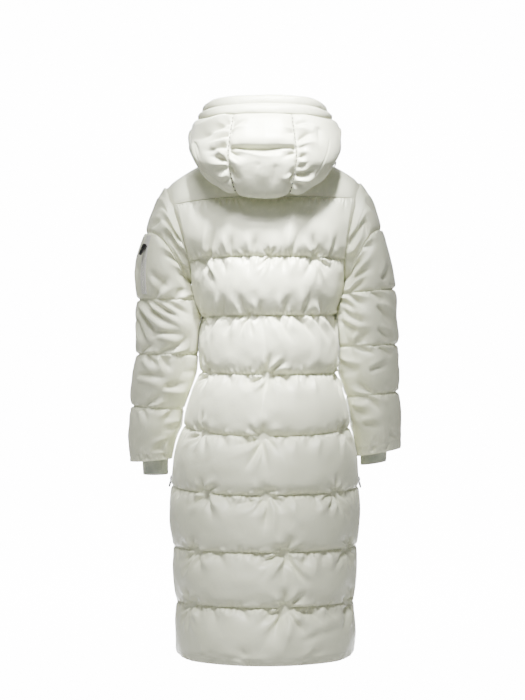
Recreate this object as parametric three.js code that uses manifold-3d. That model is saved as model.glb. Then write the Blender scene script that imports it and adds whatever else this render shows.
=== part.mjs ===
// A long hooded puffer coat, as worn: quilted body, sleeves with storm cuffs, stand collar,
// hood lying down on the back, front zip, two hand pockets and a zipped sleeve pocket.
// Millimetres, +Z up. The front faces -Y and left, as worn, is +X.
// The origin is between the shoulders, where the coat is held up when it is worn.
import * as THREE from "three";
import Module from "manifold-3d";
import { mergeVertices } from "three/addons/utils/BufferGeometryUtils.js";

// Driving dimensions
const SEAM_GAP = 0.5; // between two pieces that are sewn together
const SEAM_WALL = 4; // wall where the quilting is stitched down
const LOFT_BACK = 22; // how far the filling stands out at the centre back
const LOFT_FRONT = 19;
const LOFT_WAIST = 10; // at the sides, above the hips
const LOFT_SIDE = 4;
const LOFT_SLEEVE = 10;
const LOFT_SLEEVE_INSIDE = 2; // on the side that lies against the body
const YOKE_LOFT = 0.22; // the yoke is flatter, under the hood
const LOFT_ROUND = 0.6; // below 1 the baffle is fuller than a plain sine
const ZIP_HALF = 12.5; // half width of the front zip, tapes included
const ROW_STEPS = [0, 0.14, 0.36, 0.64, 0.86]; // where a baffle has its points
const ROW_LENGTH = 122; // of a body row, on average
const ZIP_FOOT = 18; // from the back hem up to the front zip's foot

// The body's lining at each quilting seam, from the yoke seam down to the hem: height at the centre
// and at the two side ends, half widths on the left and right, and the depth behind and before
// the middle. edgeY is how far behind the middle a panel's side would lie without the armhole,
// and wrap is how far the panel turns round to there, in degrees.
const BODY_ROWS = [
  {
    row: 1, mid: -76, endLeft: -92, endRight: -76, left: 190, right: 185,
    edgeY: 60, back: 98, front: -106, wrap: 60,
  },
  {
    row: 2, mid: -198, endLeft: -205, endRight: -201, left: 160, right: 170,
    edgeY: 36, back: 120, front: -136, wrap: 72,
  },
  {
    row: 3, mid: -318, endLeft: -321, endRight: -312, left: 128, right: 143,
    edgeY: 0, back: 112, front: -124, wrap: 88,
  },
  {
    row: 4, mid: -439, endLeft: -434, endRight: -436, left: 129, right: 143,
    edgeY: 0, back: 116, front: -122, wrap: 88,
  },
  {
    row: 5, mid: -563, endLeft: -546, endRight: -550, left: 164, right: 171,
    edgeY: 0, back: 142, front: -138, wrap: 88,
  },
  {
    row: 6, mid: -681, endLeft: -671, endRight: -673, left: 191, right: 191,
    edgeY: 0, back: 154, front: -150, wrap: 88,
  },
  {
    row: 7, mid: -796, endLeft: -798, endRight: -796, left: 187, right: 187,
    edgeY: 0, back: 154, front: -154, wrap: 88,
  },
  {
    row: 8, mid: -907, endLeft: -914, endRight: -911, left: 180, right: 180,
    edgeY: 0, back: 149, front: -152, wrap: 88,
  },
  {
    row: 9, mid: -1026, endLeft: -1029, endRight: -1029, left: 180, right: 180,
    edgeY: 0, back: 144, front: -149, wrap: 88,
  },
];
const HEM_ROW = 9;
const UNDERARM_ROW = 2.36;
const UNDERARM_STEPS = [2.26, 2.32]; // further places on the tight bend under the arm
const FRONT_HEM_LIFT = 12; // the fronts end a little above the back
const VENT_CORNER = { reach: 42, rise: 15 }; // the back hem's rounded corners at the side vents

// Neckline, from the centre back round to the centre front, on the left.
const NECKLINE = [
  { at: 0, x: 0, y: 76, z: 14 },
  { at: 0.25, x: 46, y: 64, z: 16 },
  { at: 0.5, x: 80, y: 8, z: 21 },
  { at: 0.75, x: 66, y: -58, z: -4 },
  { at: 1, x: ZIP_HALF, y: -101, z: -28 },
];
const NECK_TOP = 0.5; // where the shoulder seam meets the neckline
const NECK_SHARE = 0.38; // share of a panel's top edge that is neckline
const SHOULDER_TIP = { left: { x: 205, z: -50 }, right: { x: 197, z: -40 } };
const SHOULDER_RISE = 5; // how far the shoulder seam bows up
const ARMHOLE_DEPTH = 66; // half of the armhole, front to back

// A sleeve's lining at its seams and half way between them, from the armhole to the hem, each at
// its edge next to the body and at its outer edge. midY is its middle and depth half its depth.
const SLEEVE_ROWS = {
  left: [
    { row: 0.5, innerX: 162, innerZ: -246, outerX: 223, outerZ: -86, midY: 0, depth: 68 },
    { row: 1, innerX: 162, innerZ: -253, outerX: 247, outerZ: -146, midY: 0, depth: 68 },
    { row: 1.5, innerX: 156, innerZ: -266, outerX: 259, outerZ: -214, midY: -1, depth: 65 },
    { row: 2, innerX: 146, innerZ: -284, outerX: 262, outerZ: -283, midY: -3, depth: 62 },
    { row: 2.5, innerX: 141, innerZ: -340, outerX: 257, outerZ: -340, midY: -5, depth: 60 },
    { row: 3, innerX: 150, innerZ: -397, outerX: 264, outerZ: -397, midY: -9, depth: 58 },
    { row: 3.5, innerX: 165, innerZ: -455, outerX: 266, outerZ: -451, midY: -13, depth: 55 },
    { row: 4, innerX: 184, innerZ: -512, outerX: 275, outerZ: -506, midY: -18, depth: 52 },
    { row: 4.5, innerX: 192, innerZ: -566, outerX: 276, outerZ: -566, midY: -24, depth: 49 },
    { row: 5, innerX: 200, innerZ: -618, outerX: 281, outerZ: -624, midY: -30, depth: 46 },
  ],
  right: [
    { row: 0.5, innerX: 173, innerZ: -247, outerX: 217, outerZ: -78, midY: 0, depth: 68 },
    { row: 1, innerX: 173, innerZ: -252, outerX: 241, outerZ: -140, midY: 0, depth: 68 },
    { row: 1.5, innerX: 167, innerZ: -262, outerX: 252, outerZ: -200, midY: -1, depth: 65 },
    { row: 2, innerX: 159, innerZ: -272, outerX: 267, outerZ: -261, midY: -3, depth: 62 },
    { row: 2.5, innerX: 155, innerZ: -326, outerX: 264, outerZ: -320, midY: -5, depth: 60 },
    { row: 3, innerX: 161, innerZ: -381, outerX: 273, outerZ: -377, midY: -9, depth: 58 },
    { row: 3.5, innerX: 169, innerZ: -434, outerX: 268, outerZ: -427, midY: -13, depth: 55 },
    { row: 4, innerX: 182, innerZ: -486, outerX: 275, outerZ: -476, midY: -18, depth: 52 },
    { row: 4.5, innerX: 189, innerZ: -548, outerX: 275, outerZ: -535, midY: -24, depth: 49 },
    { row: 5, innerX: 197, innerZ: -612, outerX: 283, outerZ: -596, midY: -30, depth: 46 },
  ],
};
const SLEEVE_HEM_ROW = 5;
const CAP_BOW = 30; // how far the first seam rises at the front and back of the sleeve
const BODY_CLEARANCE = 2.6; // a sleeve is pressed flat where it would touch the body

// Storm cuff: rings from the sleeve's lining down to the wrist, at shares of its length.
const CUFF_ROWS = [
  { at: 0, fit: 1, x: 0, y: 0, z: 0 },
  { at: 0.25, fit: 0.84, x: 0, y: -1, z: -16 },
  { at: 0.55, fit: 0.7, x: -2, y: -4, z: -42 },
  { at: 1, fit: 0.66, x: -3, y: -8, z: -80 },
];
const CUFF_TOP_ROW = 4.55;
const CUFF_WALL = 2.5;
const CUFF_EASE = 1.1; // a cuff is this much smaller than the sleeve's lining
const CUFF_STEPS = 18;

// The hood's outside, from the centre back round to its front end, on the left.
const HOOD_LINES = ["neck", "under", "low", "belly", "crown", "rim"];
const HOOD_NECK = { end: 0.86, out: 11.65, rise: 16 }; // sewn along the neckline, beside the collar
const HOOD_SECTIONS = [
  {
    at: 0, under: [0, 138, -56], low: [0, 160, -76],
    belly: [0, 190, -14], crown: [0, 160, 70], rim: [0, 106, 132],
  },
  {
    at: 0.2, under: [57, 129, -48], low: [66, 152, -68],
    belly: [82, 176, -8], crown: [74, 150, 70], rim: [62, 103, 131],
  },
  {
    at: 0.4, under: [105, 92, -12], low: [118, 124, -42],
    belly: [132, 133, 5], crown: [123, 114, 68], rim: [102, 84, 126],
  },
  {
    at: 0.6, under: [124, 36, 14], low: [141, 62, 9],
    belly: [148, 70, 34], crown: [142, 55, 76], rim: [119, 42, 112],
  },
  {
    at: 0.8, under: [110, -32, 22], low: [124, -20, 30],
    belly: [136, -8, 47], crown: [128, -17, 74], rim: [110, -20, 93],
  },
  {
    at: 1, under: [69, -92, 4], low: [76, -92, 10],
    belly: [86, -88, 24], crown: [82, -88, 44], rim: [70, -86, 57],
  },
];
const HOOD_SPLIT = { left: 0.175, right: 0.145 }; // where the centre panel is sewn to a side panel
const HOOD_BAND_START = 4.28; // the rim band begins here, counted in the lines above
const HOOD_BAND_MIDDLE = 4.64; // its second row of stitching
const HOOD_FOLD = 3.32; // the quilting line across the centre panel
const HOOD_LOFT = 12;
const HOOD_LINING = 9; // the plain inside lies this far under the lines above
const HOOD_SEAM = 3; // and the outside this far at a seam
const HOOD_GAP = 0.0014; // half the gap at a side panel's seam, as a share of half the neck
const HOOD_BAND_GAP = 0.008; // half the gap at the rim band
const HOOD_RIM = HOOD_LINES.length - 1;

// Stand collar
const COLLAR_BACK = 62;
const COLLAR_FRONT = 74;
const COLLAR_LEAN = 4; // how far the top leans out
const COLLAR_WALL = 3.5;
const COLLAR_GAP = 1.5; // between the collar's foot and the sloping neckline
const COLLAR_LOFT = 5;

// Zip hardware
const SLIDER = {
  width: 9, length: 14, plate: 2.4, archRise: 3.4, archBar: 1.8, archWidth: 3, archSpan: 10, taper: 0.62,
};
const PULL = { width: 8, length: 22, thick: 1.6, slotWidth: 4.6, slotLength: 8.2, bar: 1.9, lift: 1.9 };
const TAPE = 1.4;
const CHAIN_HALF = 3;
const CHAIN_RISE = 1.6;
const ZIP_BACK = 0.2; // the front zip lies this far before the fronts' lining
const POCKET = {
  half: 11, wall: 2.2, from: 4.86, to: 6.12, front: 0.62, side: 0.88, slider: 5.9, lift: 1.3, panel: 290,
};
const SLEEVE_POCKET = {
  half: 7, wall: 2.2, start: 1.08, end: 1.92, angle: 48, radius: 62, slider: 1.28, lift: 1.5,
};
const FRONT_SLIDER_AT = 0.972; // share of the front zip's height, nearly done up
const ZIP_LIFT = SEAM_GAP + 0.2; // between a pocket's zip and the panel below it

const cloth = new THREE.MeshStandardMaterial({ color: 0xe4e3da, roughness: 0.55, metalness: 0 });
const cuffCloth = new THREE.MeshStandardMaterial({ color: 0xc9ccc2, roughness: 0.85, metalness: 0 });
const tapeCloth = new THREE.MeshStandardMaterial({ color: 0xd8d6cb, roughness: 0.8, metalness: 0 });
const blackMetal = new THREE.MeshStandardMaterial({ color: 0x1b1b1a, roughness: 0.4, metalness: 0.6 });

const rad = THREE.MathUtils.degToRad;
const lerp = THREE.MathUtils.lerp;
const smooth = THREE.MathUtils.smoothstep;
const vec = (x, y, z) => new THREE.Vector3(x, y, z);

// One column of a table at a place between its rows, as a smooth curve through them.
function column(table, key, name, place) {
  let i = 0;
  while (i < table.length - 2 && place > table[i + 1][key]) i += 1;
  const here = table[i];
  const next = table[i + 1];
  const before = table[Math.max(i - 1, 0)];
  const after = table[Math.min(i + 2, table.length - 1)];
  const span = next[key] - here[key];
  const t = (place - here[key]) / span;
  const slopeHere = ((next[name] - before[name]) / (next[key] - before[key])) * span;
  const slopeNext = ((after[name] - here[name]) / (after[key] - here[key])) * span;
  const t2 = t * t;
  const t3 = t2 * t;
  return (
    (2 * t3 - 3 * t2 + 1) * here[name] +
    (t3 - 2 * t2 + t) * slopeHere +
    (3 * t2 - 2 * t3) * next[name] +
    (t3 - t2) * slopeNext
  );
}

const bodyAt = (name, row) => column(BODY_ROWS, "row", name, row);
const neckAt = (at) => vec(...["x", "y", "z"].map((name) => column(NECKLINE, "at", name, at)));
const sides = { left: 1, right: -1 };
const endOf = { left: "endLeft", right: "endRight" };

// Each side's armhole: a loop from the shoulder tip (turn 0), over the back to the underarm (pi).
const armholes = {};
for (const side of Object.keys(sides)) {
  const tip = vec(SHOULDER_TIP[side].x, 0, SHOULDER_TIP[side].z);
  const underarm = vec(bodyAt(side, UNDERARM_ROW), 0, bodyAt(endOf[side], UNDERARM_ROW));
  const middle = tip.clone().add(underarm).multiplyScalar(0.5);
  const up = tip.clone().sub(underarm).multiplyScalar(0.5);
  armholes[side] = { tip, underarm, middle, up, out: vec(up.z, 0, -up.x).normalize() };
}

function armhole(side, turn) {
  const { middle, up } = armholes[side];
  const y = ARMHOLE_DEPTH * Math.sin(turn);
  return middle.clone().addScaledVector(up, Math.cos(turn)).add(vec(0, y, 0));
}

// Where the armhole's walls have their thickness: outwards, and mitred under the arm.
function armholeDirection(side, turn) {
  const { up, out } = armholes[side];
  const mitre = smooth(Math.abs(Math.PI - turn), 0, Math.PI / 2.5);
  const outwards = up.clone().normalize().multiplyScalar(Math.cos(turn)).add(vec(0, Math.sin(turn), 0));
  return outwards.addScaledVector(out, 1 - mitre).normalize();
}

// Where a body row meets the armhole, as a turn round the loop.
function armholeTurn(side, row) {
  if (row >= UNDERARM_ROW) return Math.PI;
  if (row < 1) return armholeTurn(side, 1) * row;
  const { middle, up } = armholes[side];
  const share = (bodyAt(endOf[side], row) - middle.z) / up.z;
  return Math.acos(Math.max(-1, Math.min(1, share)));
}

// A row of a body panel below the yoke seam. across is 0 at the centre and 1 at the side; face is
// 1 for the back and -1 for the front; start is the centre's distance from the middle line. Close to
// the armhole the row bends to meet it.
function rowPoint({ side, face, start }, across, row) {
  const underarmRow = Math.max(row, UNDERARM_ROW);
  const end = row < UNDERARM_ROW
    ? armhole(side, armholeTurn(side, row))
    : vec(bodyAt(side, underarmRow), 0, bodyAt(endOf[side], underarmRow));
  const edgeY = Math.max(bodyAt("edgeY", row), 0);
  const centreY = bodyAt(face > 0 ? "back" : "front", row);
  const wrap = rad(bodyAt("wrap", Math.min(row, 4)));
  const turn = across * wrap;
  const depth = (Math.cos(turn) - Math.cos(wrap)) / (1 - Math.cos(wrap));
  const x = start + ((end.x - start) * Math.sin(turn)) / Math.sin(wrap);
  const y = lerp(edgeY * face, centreY, depth) + (end.y - edgeY) * face * across ** 8;
  return vec(x, y, lerp(bodyAt("mid", row), end.z, across ** 2));
}

// The top edge of a body panel: neckline first, then the shoulder seam.
function topPoint({ side, face }, across) {
  if (across < NECK_SHARE) {
    const share = across / NECK_SHARE;
    return neckAt(face > 0 ? share * NECK_TOP : 1 - share * (1 - NECK_TOP));
  }
  const share = (across - NECK_SHARE) / (1 - NECK_SHARE);
  const rise = vec(0, 0, SHOULDER_RISE * Math.sin(Math.PI * share));
  return neckAt(NECK_TOP).lerp(armholes[side].tip, share).add(rise);
}

// The lining of a body panel, row 0 at the shoulder. Above the yoke seam it bends over to the front
// or back, and its edge follows the armhole.
function liningPoint(panel, across, row) {
  if (row >= 1) return rowPoint(panel, across, row);
  const over = (top, seam) => {
    const bend = vec((top.x + seam.x) / 2, lerp(top.y, seam.y, 0.85), lerp(top.z, seam.z, 0.25));
    return new THREE.QuadraticBezierCurve3(top, bend, seam).getPoint(Math.max(row, 0));
  };
  const point = over(topPoint(panel, across), rowPoint(panel, across, 1));
  const straight = over(topPoint(panel, 1), rowPoint(panel, 1, 1));
  const edge = armhole(panel.side, armholeTurn(panel.side, Math.max(row, 0)));
  edge.y *= panel.face;
  return point.addScaledVector(edge.sub(straight), across ** 6);
}

// The way out of a surface given as a function of two numbers, turned away from an inside point.
function normalOf(surface, u, v, inside) {
  const step = 0.01;
  const alongU = surface(u + step, v).sub(surface(u - step, v));
  const alongV = surface(u, v + step).sub(surface(u, v - step));
  const normal = alongU.cross(alongV).normalize();
  if (normal.dot(surface(u, v).sub(inside)) < 0) normal.negate();
  return normal;
}

const baffle = (row) => Math.abs(Math.sin(Math.PI * row)) ** LOFT_ROUND;

// Which way a body panel's wall has its thickness. At its edges it is the same as its neighbour's.
function panelDirection(panel, across, row) {
  const surface = (a, r) => liningPoint(panel, Math.max(0.001, Math.min(0.999, a)), Math.max(0.001, r));
  const inside = vec(0, 0, Math.min(bodyAt("mid", Math.max(row, 1)), -120));
  const direction = normalOf(surface, across, Math.max(row, 0.02), inside);
  const edge = armholeDirection(panel.side, armholeTurn(panel.side, row));
  edge.y *= panel.face;
  edge.lerp(vec(1, 0, 0), smooth(row, UNDERARM_ROW, UNDERARM_ROW + 0.2));
  direction.lerp(edge, smooth(across, 0.82, 1)).normalize();
  const neck = topPoint(panel, across);
  const level = vec(neck.x / 90, neck.y / 90, 0.1).normalize();
  const shoulder = armholes[panel.side].up.clone().normalize();
  const topEdge = level.lerp(shoulder, smooth(across, NECK_SHARE, NECK_SHARE + 0.14));
  return direction.lerp(topEdge, 1 - smooth(row, 0, 0.3)).normalize();
}

function panelLoft({ face }, across, row, frontEdge) {
  const middle = face > 0 ? LOFT_BACK : LOFT_FRONT;
  const side = lerp(LOFT_WAIST, LOFT_SIDE, smooth(row, 4.5, 6));
  const full = lerp(middle, side, across * across);
  const armholeTaper = row < UNDERARM_ROW ? 1 - smooth(across, 0.8, 1) : 1;
  const underTaper = lerp(1, 0.3, smooth(across, 0.5, 1) * (1 - smooth(row, 2.5, 3.1)));
  const zipTaper = frontEdge ? smooth(across, 0, 0.16) : 1;
  const yokeTaper = row < 1 ? YOKE_LOFT : 1;
  return full * armholeTaper * underTaper * zipTaper * yokeTaper * baffle(row);
}

// A closed wall between two grids of points: places across, rows for the outside, and fewer rows
// for the plain inside. ring joins the last place across to the first.
function wall({ across, rows, insideRows, inside, outside, ring = false }) {
  const points = [];
  const faces = [];
  const grid = (list, place) =>
    list.map((row) => across.map((a) => points.push(place(a, row)) - 1));
  const outer = grid(rows, outside);
  const inner = grid(insideRows, inside);
  const last = across.length - 1;
  const steps = ring ? across.length : last;
  const next = (i) => (i + 1) % across.length;
  const skin = (net, turned) => {
    for (let j = 0; j < net.length - 1; j += 1)
      for (let i = 0; i < steps; i += 1) {
        const quad = [net[j][i], net[j][next(i)], net[j + 1][next(i)], net[j + 1][i]];
        if (turned) quad.reverse();
        faces.push([quad[0], quad[1], quad[2]], [quad[0], quad[2], quad[3]]);
      }
  };
  skin(outer, false);
  skin(inner, true);
  for (let i = 0; i < steps; i += 1) {
    const k = next(i);
    const [a, b, c, d] = [outer[0][i], outer[0][k], inner[0][i], inner[0][k]];
    faces.push([b, a, c], [b, c, d]);
    const [e, f, g, h] = [outer.at(-1)[i], outer.at(-1)[k], inner.at(-1)[i], inner.at(-1)[k]];
    faces.push([e, f, h], [e, h, g]);
  }
  const edge = (i, turned) => {
    let j = 0;
    let k = 0;
    while (j < rows.length - 1 || k < insideRows.length - 1) {
      const outerNext = j < rows.length - 1 ? rows[j + 1] : Infinity;
      const innerNext = k < insideRows.length - 1 ? insideRows[k + 1] : Infinity;
      const face =
        outerNext <= innerNext
          ? [outer[j][i], outer[j + 1][i], inner[k][i]]
          : [outer[j][i], inner[k + 1][i], inner[k][i]];
      if (outerNext <= innerNext) j += 1;
      else k += 1;
      faces.push(turned ? face.reverse() : face);
    }
  };
  if (!ring) {
    edge(0, false);
    edge(last, true);
  }
  const volume = faces.reduce((sum, [a, b, c]) => {
    const cross = points[b].clone().cross(points[c]);
    return sum + points[a].dot(cross);
  }, 0);
  const geometry = new THREE.BufferGeometry().setFromPoints(points);
  geometry.setIndex(faces.flatMap((face) => (volume < 0 ? [...face].reverse() : face)));
  geometry.computeVertexNormals();
  return geometry;
}

const spread = (from, to, steps) =>
  Array.from({ length: steps + 1 }, (_, i) => lerp(from, to, i / steps));

// Row places from one seam to another: several in each baffle, and one at each seam.
function baffleRows(from, to, extra = []) {
  const rows = [...extra];
  for (let seam = Math.floor(from); seam < to; seam += 1)
    rows.push(...ROW_STEPS.map((step) => seam + step));
  const between = rows.filter((row) => row > from + 0.02 && row < to - 0.02);
  return [from, ...between.sort((a, b) => a - b), to];
}

const seamRows = (from, to) => [from, ...spread(0, 12, 12).filter((row) => row > from && row < to), to];

function add(group, name, geometry, material) {
  const mesh = new THREE.Mesh(geometry, material);
  mesh.name = name;
  group.add(mesh);
  return mesh;
}

const onSide = (side, point) => {
  point.x *= sides[side];
  return point;
};

// A body panel. places run across it, negative ones on the right; trim changes a point.
function bodyPanel({ face, start, places, from, to, frontEdge, trim = (point) => point }) {
  const half = SEAM_GAP / 2;
  const on = (place) => ({ side: place < 0 ? "right" : "left", face, start });
  const lining = (place, row) => {
    const panel = on(place);
    const across = Math.abs(place);
    const point = trim(liningPoint(panel, across, row), row);
    const atShoulder = row < 0.001 && across > NECK_SHARE;
    const atSide = across > 0.999 && row >= UNDERARM_ROW - 0.01;
    const mitred = 1 + smooth(row, 1.6, UNDERARM_ROW);
    if (across > 0.999 && row < UNDERARM_ROW + 0.01)
      point.addScaledVector(armholes[panel.side].out, -half * mitred);
    if (atShoulder || atSide) point.y += face * half;
    return point;
  };
  const outside = (place, row) => {
    const panel = on(place);
    const across = Math.abs(place);
    const direction = panelDirection(panel, across, row);
    if (start === 0 && across < 0.001) direction.x = 0;
    const thick = SEAM_WALL + panelLoft(panel, across, row, frontEdge);
    return onSide(panel.side, lining(place, row).addScaledVector(direction, thick));
  };
  const inside = (place, row) => onSide(on(place).side, lining(place, row));
  const rows = baffleRows(from, to, UNDERARM_STEPS);
  const plain = seamRows(UNDERARM_ROW, to).slice(1);
  const insideRows = to < UNDERARM_ROW ? rows : [...rows.filter((row) => row <= UNDERARM_ROW), ...plain];
  return wall({ across: places, rows, insideRows, inside, outside });
}

const seamShare = SEAM_GAP / 2 / ROW_LENGTH; // half the seam's gap as a share of a row

// The back hem is cut round at the side vents.
function roundedHem(point) {
  const hem = bodyAt("mid", HEM_ROW);
  const reach = bodyAt("left", HEM_ROW) - Math.abs(point.x);
  const inset = Math.max(0, 1 - reach / VENT_CORNER.reach);
  const floor = hem + VENT_CORNER.rise * (1 - Math.sqrt(1 - Math.min(inset, 1) ** 2));
  const near = smooth(-point.z, -hem - 60, -hem);
  point.z = lerp(point.z, Math.max(point.z, floor), near);
  return point;
}

function buildBack(coat) {
  const places = spread(-1, 1, 22);
  add(coat, "back_yoke", bodyPanel({
    face: 1, start: 0, places, from: 0, to: 1 - 2 * seamShare,
  }), cloth);
  add(coat, "back_panel", bodyPanel({
    face: 1, start: 0, places, from: 1 + 2 * seamShare, to: HEM_ROW, trim: roundedHem,
  }), cloth);
}

function buildFronts(coat) {
  const to = HEM_ROW - FRONT_HEM_LIFT / ROW_LENGTH;
  const places = spread(0, 1, 12).map((place) => Math.max(place, 0.0001));
  const start = ZIP_HALF + SEAM_GAP;
  for (const side of Object.keys(sides))
    add(coat, `front_${side}`, bodyPanel({
      face: -1, start, places: places.map((place) => place * sides[side]), from: 0, to, frontEdge: true,
    }), cloth);
}

// A sleeve's lining. turn is 0 at the outer edge, a quarter at the back, and a half next to the body.
const sleeveTables = {};
for (const side of Object.keys(sides)) {
  const { tip, underarm } = armholes[side];
  const top = { row: 0, innerX: underarm.x, innerZ: underarm.z, outerX: tip.x, outerZ: tip.z };
  sleeveTables[side] = [{ ...top, midY: 0, depth: ARMHOLE_DEPTH }, ...SLEEVE_ROWS[side]];
}

function sleeveRing(side, row) {
  const at = (name) => column(sleeveTables[side], "row", name, row);
  const inner = vec(at("innerX"), 0, at("innerZ"));
  const outer = vec(at("outerX"), 0, at("outerZ"));
  const middle = inner.clone().add(outer).multiplyScalar(0.5);
  middle.y = at("midY");
  return { middle, reach: outer.sub(inner).multiplyScalar(0.5), depth: at("depth") };
}

function sleeveDirection(side, turn, row) {
  const { reach } = sleeveRing(side, row);
  const outwards = reach.normalize().multiplyScalar(Math.cos(turn)).add(vec(0, Math.sin(turn), 0));
  return outwards.normalize().lerp(armholeDirection(side, turn), 1 - smooth(row, 0, 0.4)).normalize();
}

// The body's side, as rows of points from the armhole down to the sleeves' ends.
function sideOf(side, face) {
  const panel = { side, face, start: face > 0 ? 0 : ZIP_HALF + SEAM_GAP };
  return spread(1.2, 6.2, 75).map((row) =>
    spread(0.4, 1, 18).map((across) => {
      const thick = SEAM_WALL + panelLoft(panel, across, row);
      return liningPoint(panel, across, row).addScaledVector(panelDirection(panel, across, row), thick);
    }),
  );
}

const bodySides = {};
for (const side of Object.keys(sides)) bodySides[side] = { back: sideOf(side, 1), front: sideOf(side, -1) };

// How far the body's side stands out at a height and depth.
function bodyReach(side, y, z) {
  const rows = bodySides[side][y > 0 ? "back" : "front"];
  const atDepth = (points) => {
    const i = points.findIndex((point) => Math.abs(point.y) < Math.abs(y));
    if (i < 1) return points.at(i);
    const from = Math.abs(points[i - 1].y);
    const share = (Math.abs(y) - from) / (Math.abs(points[i].y) - from);
    return points[i - 1].clone().lerp(points[i], share);
  };
  const line = rows.map(atDepth);
  const below = line.findIndex((point) => point.z < z);
  if (below < 1) return line.at(below).x;
  const share = (line[below - 1].z - z) / (line[below - 1].z - line[below].z);
  return lerp(line[below - 1].x, line[below].x, share);
}

// Pushes a sleeve's point out to where it is clear of the body.
function pressed(side, row, point, cover) {
  if (row < 0.05) return point;
  const least = bodyReach(side, point.y, point.z) + BODY_CLEARANCE * smooth(row, 0, 0.3) + cover;
  point.x = Math.max(point.x, least);
  return point;
}

function sleeveLining(side, turn, row) {
  const { middle, reach, depth } = sleeveRing(side, row);
  const bow = CAP_BOW * Math.sin(turn) ** 2 * smooth(row, 0, 1) * (1 - smooth(row, 1, 2));
  return middle
    .addScaledVector(reach, Math.cos(turn))
    .add(vec(0, depth * Math.sin(turn), bow));
}

function sleeveThickness(turn, row) {
  const facing = (1 - Math.cos(turn)) / 2;
  const loft = lerp(LOFT_SLEEVE, LOFT_SLEEVE_INSIDE, smooth(facing, 0.35, 0.85));
  const capTaper = row < 1 ? lerp(1, 0.25, facing) * 0.8 : 1;
  const hemTaper = 1 - 0.6 * smooth(row, 4.4, SLEEVE_HEM_ROW);
  return SEAM_WALL + loft * capTaper * hemTaper * baffle(row);
}

function sleeveOutside(side, turn, row) {
  const direction = sleeveDirection(side, turn, row);
  return sleeveLining(side, turn, row).addScaledVector(direction, sleeveThickness(turn, row));
}

function buildSleeves(coat) {
  const edgeRows = [...baffleRows(0, UNDERARM_ROW, UNDERARM_STEPS)];
  for (const side of Object.keys(sides)) {
    const behind = edgeRows.map((row) => armholeTurn(side, row));
    const before = behind.slice(1, -1).reverse().map((turn) => 2 * Math.PI - turn);
    const seam = armholes[side].out.clone().multiplyScalar(SEAM_GAP / 2);
    const shift = (point, row) => point.addScaledVector(seam, 1 - smooth(row, 0, 0.5));
    add(coat, `sleeve_${side}`, wall({
      across: [...behind, ...before],
      rows: baffleRows(0, SLEEVE_HEM_ROW),
      insideRows: [0, 0.36, 0.64, ...seamRows(0, SLEEVE_HEM_ROW).slice(1)],
      inside: (turn, row) =>
        onSide(side, pressed(side, row, shift(sleeveLining(side, turn, row), row), SEAM_WALL)),
      outside: (turn, row) =>
        onSide(side, pressed(side, row, shift(sleeveOutside(side, turn, row), row), 0)),
      ring: true,
    }), cloth);
  }
}

// The storm cuffs start on the sleeve's lining and narrow to the wrist.
function cuffPoint(side, turn, at, inset) {
  const { middle, reach, depth } = sleeveRing(side, CUFF_TOP_ROW);
  const fit = column(CUFF_ROWS, "at", "fit", at);
  const shift = vec(...["x", "y", "z"].map((name) => column(CUFF_ROWS, "at", name, at)));
  const size = (length) => (length - CUFF_EASE) * fit - inset;
  return middle
    .add(shift)
    .addScaledVector(reach.clone().normalize(), size(reach.length()) * Math.cos(turn))
    .add(vec(0, size(depth) * Math.sin(turn), 0));
}

function buildCuffs(coat) {
  const turns = spread(0, 2 * Math.PI, CUFF_STEPS).slice(0, -1);
  const rows = spread(0, 1, 4);
  for (const side of Object.keys(sides))
    add(coat, `cuff_${side}`, wall({
      across: turns,
      rows,
      insideRows: rows,
      inside: (turn, at) => onSide(side, cuffPoint(side, turn, at, CUFF_WALL)),
      outside: (turn, at) => onSide(side, cuffPoint(side, turn, at, 0)),
      ring: true,
    }), cuffCloth);
}

// Stand collar, from the left front edge round the back to the right one.
function collarPoint(place, height, out) {
  const at = Math.abs(place);
  const base = neckAt(1 - at);
  const level = vec(base.x / 90, base.y / 90, 0).normalize();
  const rise = lerp(COLLAR_FRONT, COLLAR_BACK, at);
  const point = base.add(vec(0, 0, COLLAR_GAP + rise * height));
  point.addScaledVector(level, COLLAR_LEAN * height + out);
  return onSide(place < 0 ? "right" : "left", point);
}

function buildCollar(coat) {
  const half = spread(0.0005, 1, 11);
  const places = [...half, ...half.slice(0, -1).reverse().map((at) => -at)];
  const rows = spread(0, 1, 8);
  const thick = (height) => COLLAR_WALL + COLLAR_LOFT * Math.abs(Math.sin(2 * Math.PI * height)) ** 0.7;
  add(coat, "collar", wall({
    across: places,
    rows,
    insideRows: [0, 0.5, 1],
    inside: (place, height) => collarPoint(place, height, 0),
    outside: (place, height) => collarPoint(place, height, thick(height)),
  }), cloth);
}

// The hood's outside: place runs from -1 to 1 round the neck, line from the neck seam to the rim.
const hoodCurves = HOOD_SECTIONS.map((section) => {
  const neck = neckAt(section.at * HOOD_NECK.end);
  const level = vec(neck.x, neck.y, 0).normalize();
  neck.addScaledVector(level, HOOD_NECK.out).add(vec(0, 0, HOOD_NECK.rise));
  const points = HOOD_LINES.slice(1).map((name) => vec(...section[name]));
  return { at: section.at, curve: new THREE.CatmullRomCurve3([neck, ...points], false, "centripetal") };
});

function hoodPoint(place, line) {
  const at = Math.min(Math.abs(place), 1);
  const share = Math.min(Math.max(line / HOOD_RIM, 0), 1);
  const table = hoodCurves.map(({ at: row, curve }) => ({ row, ...curve.getPoint(share) }));
  const point = vec(...["x", "y", "z"].map((name) => column(table, "row", name, at)));
  return onSide(place < 0 ? "right" : "left", point);
}

function hoodLoft(place, line, seams, lines) {
  const near = (list, value, width) =>
    Math.min(1, ...list.map((seam) => Math.min(1, Math.abs(value - seam) / width)));
  const roundness = (share) => Math.sqrt(1 - (1 - share) ** 2);
  return HOOD_LOFT * roundness(near(seams, place, 0.09)) * roundness(near(lines, line, 0.35));
}

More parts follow.
